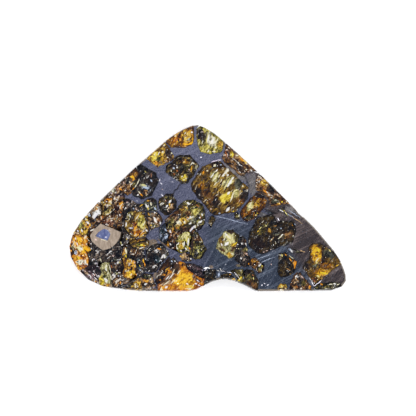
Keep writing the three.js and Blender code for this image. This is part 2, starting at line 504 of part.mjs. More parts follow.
// Lean of the walls near a point, mm of x and y for each mm down
function leanAt(point) {
  let at = point;
  if (point.x < LEFT_PACK.edge) at = LEFT_PACK.at;
  else if (point.x < LOWER_PACK.edge && point.y < LOWER_PACK.top) at = LOWER_PACK.at;
  const wave = ([perX, perY, phase, height]) => height * Math.sin(perX * at.x + perY * at.y + phase);
  return [LEAN_X, LEAN_Y].map((waves) => (LEAN / THICKNESS) * waves.reduce((sum, one) => sum + wave(one), 0));
}

// Prism through the slice. Its walls lean one way, and other outlines lean other ways, so that the back
// shows other shapes than the front. Packed grains lean alike.
function leaningPrism(loop, place = loop) {
  const [leanX, leanY] = leanAt(new THREE.Box2().setFromPoints(place).getCenter(new THREE.Vector2()));
  const shear = new THREE.Matrix4().makeShear(0, 0, 0, 0, -leanX, -leanY);
  return solidOf(prism(loop, -THICKNESS - OVERCUT, OVERCUT).applyMatrix4(shear).translate(0, 0, THICKNESS));
}

// Solid of the whole slice: straight cut walls with a chamfer front and back
function sliceSolid(edge) {
  const rings = [
    [0, CHAMFER],
    [CHAMFER, 0],
    [THICKNESS - CHAMFER, 0],
    [THICKNESS, CHAMFER],
  ];
  const corners = rings.flatMap(([z, inset]) => moved(edge, -inset).flatMap((p) => [p.x, p.y, z]));
  const n = edge.length;
  const faces = [];
  for (let k = 0; k < rings.length - 1; k++) {
    for (let i = 0; i < n; i++) {
      const j = (i + 1) % n;
      const [a, b, c, d] = [k * n + i, k * n + j, (k + 1) * n + j, (k + 1) * n + i];
      faces.push(a, b, c, a, c, d);
    }
  }
  const top = (rings.length - 1) * n;
  for (const [a, b, c] of THREE.ShapeUtils.triangulateShape(edge, [])) {
    faces.push(a, c, b, top + a, top + b, top + c);
  }
  const geometry = new THREE.BufferGeometry();
  geometry.setAttribute("position", new THREE.Float32BufferAttribute(corners, 3));
  geometry.setIndex(faces);
  return solidOf(geometry);
}

// Block whose lower face passes through a point and looks along a normal
function blockFrom(point, normal) {
  const geometry = new THREE.BoxGeometry(40, 40, 6).translate(0, 0, 3);
  const turn = new THREE.Quaternion().setFromUnitVectors(new THREE.Vector3(0, 0, 1), normal);
  return solidOf(geometry.applyQuaternion(turn).translate(point.x, point.y, point.z));
}

// Sloping faces cut on the front and back of a grain, round a flat middle
function faceted(solid, seed, relief) {
  const { min, max } = solid.boundingBox();
  const reach = Math.min(max[0] - min[0], max[1] - min[1]) / 2;
  const next = scatter(seed);
  let cut = solid;
  for (const up of [1, -1]) {
    const count = up < 0 ? BACK_FACES : FRONT_FACES + (reach > BIG_GRAIN ? MORE_FACES : 0);
    const level = up > 0 ? THICKNESS - SINK : SINK;
    const spin = next() * Math.PI * 2;
    cut = cut.subtract(blockFrom(new THREE.Vector3(min[0], min[1], level), new THREE.Vector3(0, 0, up)));
    for (let i = 0; i < count; i++) {
      const around = spin + ((i + 0.6 * next()) / count) * Math.PI * 2;
      const slope = THREE.MathUtils.degToRad(relief * (0.45 + 0.9 * next()));
      const out = reach * (0.1 + 0.5 * next());
      const [dx, dy] = [Math.cos(around), Math.sin(around)];
      const [x, y] = [0, 1].map((k) => (min[k] + max[k]) / 2 + [dx, dy][k] * out);
      const point = new THREE.Vector3(x, y, level);
      const normal = new THREE.Vector3(Math.sin(slope) * dx, Math.sin(slope) * dy, up * Math.cos(slope));
      cut = cut.subtract(blockFrom(point, normal));
    }
  }
  return cut;
}

const joined = (solids) => solids.reduce((all, one) => all.add(one));

function overlaps(a, b) {
  const [p, q] = [a.boundingBox(), b.boundingBox()];
  return [0, 1].every((k) => p.min[k] < q.max[k] && q.min[k] < p.max[k]);
}

const group = new THREE.Group();
const edge = sliceEdge();
const span = new THREE.Box2().setFromPoints(edge);
const centre = span.getCenter(new THREE.Vector2());

// Node from the biggest body of a solid, in the slice's own frame
function addNode(name, solid, colour, roughness, metalness) {
  const bodies = solid.decompose();
  const body = bodies.reduce((best, one) => (one.volume() > best.volume() ? one : best));
  const mesh = body.getMesh();
  const geometry = new THREE.BufferGeometry();
  geometry.setAttribute("position", new THREE.BufferAttribute(mesh.vertProperties, mesh.numProp));
  geometry.setIndex(new THREE.BufferAttribute(mesh.triVerts, 1));
  geometry.translate(-centre.x, -centre.y, 0);
  geometry.computeVertexNormals();
  const finish = new THREE.MeshStandardMaterial({ color: colour, roughness, metalness });
  const node = new THREE.Mesh(geometry, finish);
  node.name = name;
  group.add(node);
}

// Metal: the slice without the pockets of the grains, with its patches and veins between them
const slice = sliceSolid(edge);
const nodule = loopOf(NODULE);
const core = loopOf(NODULE_CORE);
const veinStrips = METAL_VEINS.map(([width, points]) => strip(width, points));
const veinLoops = [...METAL_PATCHES.map(loopOf), ...veinStrips];
const outlines = GRAINS.map(({ bent, at }) => (bent ? bentLoop(at) : loopOf(at)));
const pockets = [nodule, ...outlines].map((loop) => leaningPrism(moved(loop, GAP / 2), loop));
const veins = joined(veinLoops.map((loop) => leaningPrism(loop)));
let metal = slice.subtract(joined(pockets)).add(veins.intersect(slice));
for (const pit of PITS) {
  metal = metal.subtract(solidOf(prism(loopOf(pit), PIT_FLOOR, THICKNESS + OVERCUT)));
}
for (const crack of CRACKS) {
  const slit = prism(strip(CRACK_WIDTH, crack), CRACK_FLOOR, THICKNESS + OVERCUT);
  metal = metal.subtract(solidOf(slit));
}
addNode("metal", metal, 0x55586a, 0.35, 0.9);

const corePocket = leaningPrism(moved(core, GAP / 2), core);
const shell = leaningPrism(moved(nodule, -GAP / 2), nodule).subtract(corePocket);
addNode("nodule", shell.intersect(slice), 0xa8988a, 0.45, 0.6);
addNode("nodule_core", leaningPrism(moved(core, -GAP / 2), core).intersect(slice), 0x66739f, 0.35, 0.9);

// Grains: each gives way to the metal's veins and to the grains before it
const widerVeins = joined(veinLoops.map((loop) => leaningPrism(moved(loop, GAP), loop)));
GRAINS.forEach(({ name, colour, relief }, i) => {
  let grain = leaningPrism(moved(outlines[i], -GAP / 2), outlines[i]).intersect(slice).subtract(widerVeins);
  for (const pocket of pockets.slice(0, i + 1)) {
    if (overlaps(pocket, grain)) grain = grain.subtract(pocket);
  }
  addNode(name, faceted(grain, i + 1, relief), colour, 0.3, 0.0);
});

export default group;
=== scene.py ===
import json
import math
from random import Random

import bmesh
import bpy
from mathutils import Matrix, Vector
from mathutils.bvhtree import BVHTree
from mathutils.kdtree import KDTree
from mathutils.noise import noise_vector, seed_set


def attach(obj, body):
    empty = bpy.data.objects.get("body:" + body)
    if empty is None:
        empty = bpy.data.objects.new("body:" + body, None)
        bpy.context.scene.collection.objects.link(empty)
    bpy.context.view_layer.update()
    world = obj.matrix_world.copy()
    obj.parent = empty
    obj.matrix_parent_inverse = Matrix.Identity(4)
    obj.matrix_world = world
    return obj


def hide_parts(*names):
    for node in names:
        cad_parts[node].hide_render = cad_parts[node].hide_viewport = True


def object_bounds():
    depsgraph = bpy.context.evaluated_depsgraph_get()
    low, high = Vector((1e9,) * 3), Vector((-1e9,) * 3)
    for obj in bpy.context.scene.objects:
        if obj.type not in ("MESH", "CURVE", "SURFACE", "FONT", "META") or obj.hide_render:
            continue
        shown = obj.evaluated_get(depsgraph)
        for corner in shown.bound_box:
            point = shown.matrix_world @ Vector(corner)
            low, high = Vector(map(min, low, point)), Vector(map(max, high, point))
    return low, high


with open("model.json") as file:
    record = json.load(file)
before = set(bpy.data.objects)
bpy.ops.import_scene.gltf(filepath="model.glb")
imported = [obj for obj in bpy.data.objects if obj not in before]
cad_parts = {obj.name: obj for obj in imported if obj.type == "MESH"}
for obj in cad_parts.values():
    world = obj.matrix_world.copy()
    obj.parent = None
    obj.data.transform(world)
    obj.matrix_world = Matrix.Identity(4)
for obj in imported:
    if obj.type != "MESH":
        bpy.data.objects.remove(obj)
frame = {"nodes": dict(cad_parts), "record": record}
solidLow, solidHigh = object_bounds()
slotOf = {part["node"]: part["material_slot"] for part in frame["record"]["subparts"]}

mm = 0.001
top = solidHigh.z  # the polished face
sketchShift = Vector((0.30, -0.05, 0.0))  # mm, from the middle of the photograph's frame to the part's origin


# Small helpers for node trees

def linear(code):
    parts = [int(code[i:i + 2], 16) / 255 for i in (0, 2, 4)]
    return tuple(v / 12.92 if v <= 0.04045 else ((v + 0.055) / 1.055) ** 2.4 for v in parts) + (1.0,)


def put(tree, kind, sockets=None, **settings):
    node = tree.nodes.new("ShaderNode" + kind)
    for name, value in settings.items():
        setattr(node, name, value)
    for name, value in (sockets or {}).items():
        if isinstance(value, bpy.types.NodeSocket):
            tree.links.new(value, node.inputs[name])
        else:
            node.inputs[name].default_value = value
    return node


def placed(tree, group, sockets):
    return put(tree, "Group", sockets, node_tree=group).outputs


def sums(tree, operation, *values, clamp=False):
    return put(tree, "Math", dict(enumerate(values)), operation=operation, use_clamp=clamp).outputs[0]


def vectors(tree, operation, *values, out="Vector"):
    return put(tree, "VectorMath", dict(enumerate(values)), operation=operation).outputs[out]


def vector(tree, x=0.0, y=0.0, z=0.0):
    return put(tree, "CombineXYZ", {"X": x, "Y": y, "Z": z}).outputs[0]


def mixed(tree, share, a, b):
    return put(tree, "Mix", {0: share, 6: a, 7: b}, data_type="RGBA").outputs[2]


def ramped(tree, value, low, high, start=0.0, end=1.0):
    sockets = {"Value": value, "From Min": low, "From Max": high, "To Min": start, "To Max": end}
    return put(tree, "MapRange", sockets, interpolation_type="SMOOTHSTEP").outputs[0]


def channels(tree, colour):
    return put(tree, "SeparateColor", {0: colour}).outputs


def noise(tree, place, scale, detail, roughness=0.5, out="Fac"):
    sockets = {"Vector": place, "Scale": scale, "Detail": detail, "Roughness": roughness}
    return put(tree, "TexNoise", sockets).outputs[out]


def centred(tree, colour):
    return vectors(tree, "SUBTRACT", colour, (0.5, 0.5, 0.5))


def cells(tree, place, scale, feature="F1"):
    return put(tree, "TexVoronoi", {"Vector": place, "Scale": scale}, feature=feature).outputs


def locally(tree, place, turn, scale, middle=(0.0, 0.0, 0.0)):
    # a place measured from a middle, turned round Z, in a scale of its own
    sockets = {"Vector": place, "Location": middle, "Rotation": vector(tree, z=turn), "Scale": scale}
    return put(tree, "Mapping", sockets, vector_type="TEXTURE").outputs[0]


def newGroup(name, inputs, outputs):
    group = bpy.data.node_groups.new(name, "ShaderNodeTree")
    kinds = {"v": "NodeSocketVector", "c": "NodeSocketColor", "f": "NodeSocketFloat"}
    for label, kind in inputs.items():
        group.interface.new_socket(label, in_out="INPUT", socket_type=kinds[kind])
    for label, kind in outputs.items():
        group.interface.new_socket(label, in_out="OUTPUT", socket_type=kinds[kind])
    return group, group.nodes.new("NodeGroupInput").outputs, group.nodes.new("NodeGroupOutput").inputs


def newMaterial(name):
    material = bpy.data.materials.new(name)
    material.use_nodes = True
    tree = material.node_tree
    tree.nodes.clear()
    surface = put(tree, "BsdfPrincipled")
    output = put(tree, "OutputMaterial", {"Surface": surface.outputs[0]})
    return material, tree, surface, output


def placeInMm(tree):
    return vectors(tree, "MULTIPLY", put(tree, "TexCoord").outputs["Object"], (1000.0, 1000.0, 1000.0))


# Effects that several materials use

stoneFields = ("Coarse", "Middle", "Fine", "Flake", "Flash", "Streak", "Cloud", "Crack")

plateLook = {
    "driftScale": 0.8, "bend": (1.4, 1.4, 1.4),  # a slow noise, and how far it bends the pattern, in mm
    "flakeShape": (0.7, 1.5, 1.0), "flakeScale": 1.9,  # flakes are wider than high
    "flashScale": 3.6, "cloudScale": 0.45,
    "streakShape": (0.6, 2.4, 1.0), "streakDetail": 4.0, "streakRoughness": 0.7,
    "soft": (0.34, 0.66),  # where streaks and clouds turn from dark to light
    "crack": 0.07,  # width of a crack, as a share of a plate
    "steepPower": 12.0, "steep": 5.0, "level": 0.06,  # a few flashes stand steep, the rest nearly level
}


def makePlates():
    # the fields that every crystal is drawn with: plates with cracks between them, flakes, streaks, clouds
    inputs = {"Place": "v", "Turn": "f", "Stretch": "f", "Size": "f", "Seed": "f"}
    outputs = {**{field: "f" for field in stoneFields}, "Height": "f", "Drift": "v"}
    tree, given, out = newGroup("plates", inputs, outputs)
    look = plateLook
    seed = vector(tree, given["Seed"], given["Seed"], given["Seed"])
    seeded = vectors(tree, "ADD", given["Place"], seed)
    drift = centred(tree, noise(tree, seeded, look["driftScale"], 3.0, out="Color"))
    drifted = vectors(tree, "MULTIPLY_ADD", drift, look["bend"], seeded)
    point = locally(tree, drifted, given["Turn"], vector(tree, given["Stretch"], 1.0, 1.0))
    scale = sums(tree, "DIVIDE", 1.0, given["Size"])
    plates = cells(tree, point, scale)
    edges = cells(tree, point, scale, "DISTANCE_TO_EDGE")
    flakes = cells(tree, vectors(tree, "MULTIPLY", point, look["flakeShape"]), look["flakeScale"])
    flashes = cells(tree, point, look["flashScale"])
    cloud = noise(tree, seeded, look["cloudScale"], 1.5)
    narrow = vectors(tree, "MULTIPLY", point, look["streakShape"])
    streak = noise(tree, narrow, 1.0, look["streakDetail"], look["streakRoughness"])
    coarse, middle, fine = (channels(tree, each["Color"]) for each in (plates, flakes, flashes))
    steep = sums(tree, "POWER", fine[2], look["steepPower"])
    steep = sums(tree, "MULTIPLY_ADD", steep, look["steep"], look["level"])
    slope = centred(tree, flashes["Color"])
    off = vectors(tree, "SUBTRACT", point, flashes["Position"])
    height = sums(tree, "MULTIPLY", steep, vectors(tree, "DOT_PRODUCT", slope, off, out="Value"))
    crack = ramped(tree, edges["Distance"], 0.0, look["crack"], 1.0, 0.0)
    results = {
        "Coarse": coarse[0], "Middle": middle[0], "Fine": fine[0], "Flake": middle[1], "Flash": fine[1],
        "Streak": ramped(tree, streak, *look["soft"]), "Cloud": ramped(tree, cloud, *look["soft"]),
        "Crack": crack, "Height": height, "Drift": drift,
    }
    for name, socket in results.items():
        tree.links.new(socket, out[name])
    return tree


patchLook = {"edge": (0.65, 1.15)}  # where a patch fades out, as a share of its reach
markLook = {
    "taper": (1.2, 0.4),  # gain in width from end to middle, and share of the width at the ends
    "edge": (0.6, 1.1),  # where a mark fades out, as a share of its width
    "ragged": (2.2, 2.0),  # scale and detail of the noise that bends marks in metal and nodule
}


def makePatch():
    # lays one tint over an oval patch with a soft edge and makes it lighter or darker
    inputs = {"Tint": "c", "Light": "f", "Place": "v", "Middle": "v", "Reach": "v", "Turn": "f",
              "Patch Tint": "c", "Gain": "f"}
    tree, given, out = newGroup("patch", inputs, {"Tint": "c", "Light": "f"})
    local = locally(tree, given["Place"], given["Turn"], given["Reach"], given["Middle"])
    share = ramped(tree, vectors(tree, "LENGTH", local, out="Value"), *patchLook["edge"], 1.0, 0.0)
    tree.links.new(mixed(tree, share, given["Tint"], given["Patch Tint"]), out["Tint"])
    tree.links.new(sums(tree, "MULTIPLY_ADD", share, given["Gain"], given["Light"]), out["Light"])
    return tree


def makeMark():
    # lays one tint over a narrow tapering mark from start to end
    inputs = {"Colour": "c", "Cover": "f", "Place": "v", "Start": "v", "End": "v", "Width": "f", "Tint": "c"}
    tree, given, out = newGroup("mark", inputs, {"Colour": "c", "Cover": "f"})
    toPlace = vectors(tree, "SUBTRACT", given["Place"], given["Start"])
    toEnd = vectors(tree, "SUBTRACT", given["End"], given["Start"])
    share = sums(tree, "DIVIDE", vectors(tree, "DOT_PRODUCT", toPlace, toEnd, out="Value"),
                 vectors(tree, "DOT_PRODUCT", toEnd, toEnd, out="Value"), clamp=True)
    nearest = vectors(tree, "MULTIPLY", toEnd, vector(tree, share, share, share))
    off = vectors(tree, "LENGTH", vectors(tree, "SUBTRACT", toPlace, nearest), out="Value")
    taper = sums(tree, "MULTIPLY_ADD", sums(tree, "PINGPONG", share, 0.5), *markLook["taper"])
    width = sums(tree, "MULTIPLY", given["Width"], taper)
    mask = ramped(tree, sums(tree, "DIVIDE", off, width), *markLook["edge"], 1.0, 0.0)
    tree.links.new(mixed(tree, mask, given["Colour"], given["Tint"]), out["Colour"])
    tree.links.new(sums(tree, "MAXIMUM", mask, given["Cover"]), out["Cover"])
    return tree


stoneLook = {
    "shares": {"Cloud": 0.25, "Streak": 0.50, "Coarse": 0.40, "Middle": 0.60, "Fine": 1.0},
    "rim": 0.45, "rimShade": 0.15,  # mm along the outline where the stone is darker by painted shade, and how much
    "swing": 1.3, "lift": 0.18, "crack": -0.6,  # what pattern and cracks do to the light
    "least": (0.05, 0.03),  # of the light before and after the pattern
    "deepen": (0.1, 1.3, 1.65, 0.62),  # from this light to that one the tint's gamma goes from high to low
    "gain": 1.7,  # power of the light by which the tint is dimmed
    "flashShares": {"Streak": 0.30, "Coarse": 0.20},  # what makes the painted white flashes and flakes (painted glints) more likely
    "flashFrom": (1.36, 1.40), "flakeFrom": (1.40, 1.42), "flashTint": 0.10,  # gamma of the tint of a painted glint
    "roughness": (0.13, 0.25),  # of a plate and of a crack
    "ior": 1.67, "transmission": 0.45, "density": 250.0, "bump": 0.00022,
    "patchDrift": (1.7, 1.7, 0.0), "markDrift": (0.25, 0.25, 0.0),  # mm, how ragged patches and marks are
}


def makeStone():
    # colour and gloss of the stone, with the light through it painted in: where little light gets through,
    # the tint is deeper and darker
    inputs = {"Tint": "c", "Light": "f", "Contrast": "f", "GlintShare": "f", "Rim": "f",
              **{field: "f" for field in stoneFields}}
    tree, given, out = newGroup("olivineStone", inputs, {"Colour": "c", "Roughness": "f"})
    look = stoneLook
    shift = -0.5 * sum(look["shares"].values())
    for field, share in look["shares"].items():
        shift = sums(tree, "MULTIPLY_ADD", given[field], share, shift)
    shift = sums(tree, "MULTIPLY", shift, given["Contrast"])
    # painted shade along the stone's outline, where the pocket's edge shades it
    near = ramped(tree, given["Rim"], 0.0, look["rim"], 1.0, 0.0)
    level = sums(tree, "MULTIPLY_ADD", near, -look["rimShade"], given["Light"])
    level = sums(tree, "MAXIMUM", level, look["least"][0])
    light = sums(tree, "MULTIPLY", level, sums(tree, "MULTIPLY_ADD", shift, look["swing"], 1.0))
    light = sums(tree, "MULTIPLY_ADD", shift, look["lift"], light)
    crack = sums(tree, "MULTIPLY", given["Crack"], given["Contrast"])
    light = sums(tree, "MULTIPLY", light, sums(tree, "MULTIPLY_ADD", crack, look["crack"], 1.0))
    light = sums(tree, "MAXIMUM", light, look["least"][1])
    gamma = ramped(tree, light, *look["deepen"])
    deep = put(tree, "Gamma", {"Color": given["Tint"], "Gamma": gamma}).outputs[0]
    gain = sums(tree, "MINIMUM", sums(tree, "POWER", light, look["gain"]), 1.0)
    body = vectors(tree, "MULTIPLY", deep, vector(tree, gain, gain, gain))
    chance = given["GlintShare"]
    for field, share in look["flashShares"].items():
        chance = sums(tree, "MULTIPLY_ADD", given[field], share, chance)
    # painted glints: white flashes and flakes laid into the colour stand in for light caught on cleavage
    # planes
    paintedFlash = ramped(tree, sums(tree, "ADD", given["Flash"], chance), *look["flashFrom"])
    paintedFlake = ramped(tree, sums(tree, "ADD", given["Flake"], chance), *look["flakeFrom"])
    white = put(tree, "Gamma", {"Color": given["Tint"], "Gamma": look["flashTint"]}).outputs[0]
    tree.links.new(mixed(tree, sums(tree, "MAXIMUM", paintedFlash, paintedFlake), body, white), out["Colour"])
    tree.links.new(ramped(tree, given["Crack"], 0.0, 1.0, *look["roughness"]), out["Roughness"])
    return tree


def onFace(x, y):
    return Vector((x, y, 0.0)) + sketchShift


def marksOn(name):
    # the marks and painted glints whose middle lies in the box round a piece
    mesh = frame["nodes"][name].data
    xs = [vert.co.x / mm - sketchShift.x for vert in mesh.vertices]
    ys = [vert.co.y / mm - sketchShift.y for vert in mesh.vertices]
    near = 0.2
    return [mark for mark in stonePaintedGlintsAndMarks
            if min(xs) - near < (mark[1] + mark[3]) / 2 < max(xs) + near
            and min(ys) - near < (mark[2] + mark[4]) / 2 < max(ys) + near]


def addMarks(tree, colour, place, marks, cover=0.0):
    for tint, x0, y0, x1, y1, width in marks:
        mark = placed(tree, markGroup, {
            "Colour": colour, "Cover": cover, "Place": place, "Start": onFace(x0, y0), "End": onFace(x1, y1),
            "Width": width, "Tint": linear(palette[tint]),
        })
        colour, cover = mark["Colour"], mark["Cover"]
    return colour, cover


def addPatches(tree, tint, light, place, patches, colours):
    for name, gain, x, y, length, width, tilt in patches:
        patch = placed(tree, patchGroup, {
            "Tint": tint, "Light": light, "Place": place, "Middle": onFace(x, y),
            "Reach": (length, width, 1000.0), "Turn": math.radians(tilt),
            "Patch Tint": linear(colours[name]), "Gain": gain,
        })
        tint, light = patch["Tint"], patch["Light"]
    return tint, light


def raggedPlace(tree, place, reach):
    # the place on the face, moved aside by up to half of reach, so that marks aren't straight
    flat = vectors(tree, "MULTIPLY", place, (1.0, 1.0, 0.0))
    ragged = centred(tree, noise(tree, place, *markLook["ragged"], out="Color"))
    return vectors(tree, "MULTIPLY_ADD", ragged, (reach, reach, 0.0), flat)


plateGroup = makePlates()
patchGroup = makePatch()
markGroup = makeMark()
stoneGroup = makeStone()
print("shared effects made")


# Olivine crystals

palette = {
    "amber": "d99a1c", "orange": "f09a14", "sun": "ffbe14", "saffron": "e8a80c", "gold": "e6b430",
    "yellow": "f2d22c", "lemon": "e2d25c", "pale": "efe390", "celery": "dcd494", "cream": "f6eecc",
    "green": "b6b24a", "olive": "a3944c", "moss": "5c5a2c", "khaki": "8f7638", "honey": "be983c",
    "greyGreen": "a2a084", "tan": "c8a274", "brown": "a8793f", "umber": "86684a", "bark": "3c2817",
    "rust": "b4682c", "redBrown": "98603c", "plum": "8e7072", "lilac": "c9bccb", "teal": "56696e",
    "blueGrey": "9aa4b6", "sky": "bccbe2", "smoke": "9c8876", "white": "fcfaf6", "pink": "e0c0b4",
    "silver": "f0ecf4", "ink": "14100c",
}

# what the stone swallows on the way through, per kind
stoneClear = {
    "olivine_amber": (0.90, 0.62, 0.20, 1.0), "olivine_yellow": (0.90, 0.82, 0.35, 1.0),
    "olivine_green": (0.72, 0.70, 0.35, 1.0), "olivine_brown": (0.62, 0.42, 0.22, 1.0),
    "olivine_dark": (0.40, 0.34, 0.28, 1.0), "olivine_pale": (0.94, 0.92, 0.70, 1.0),
}
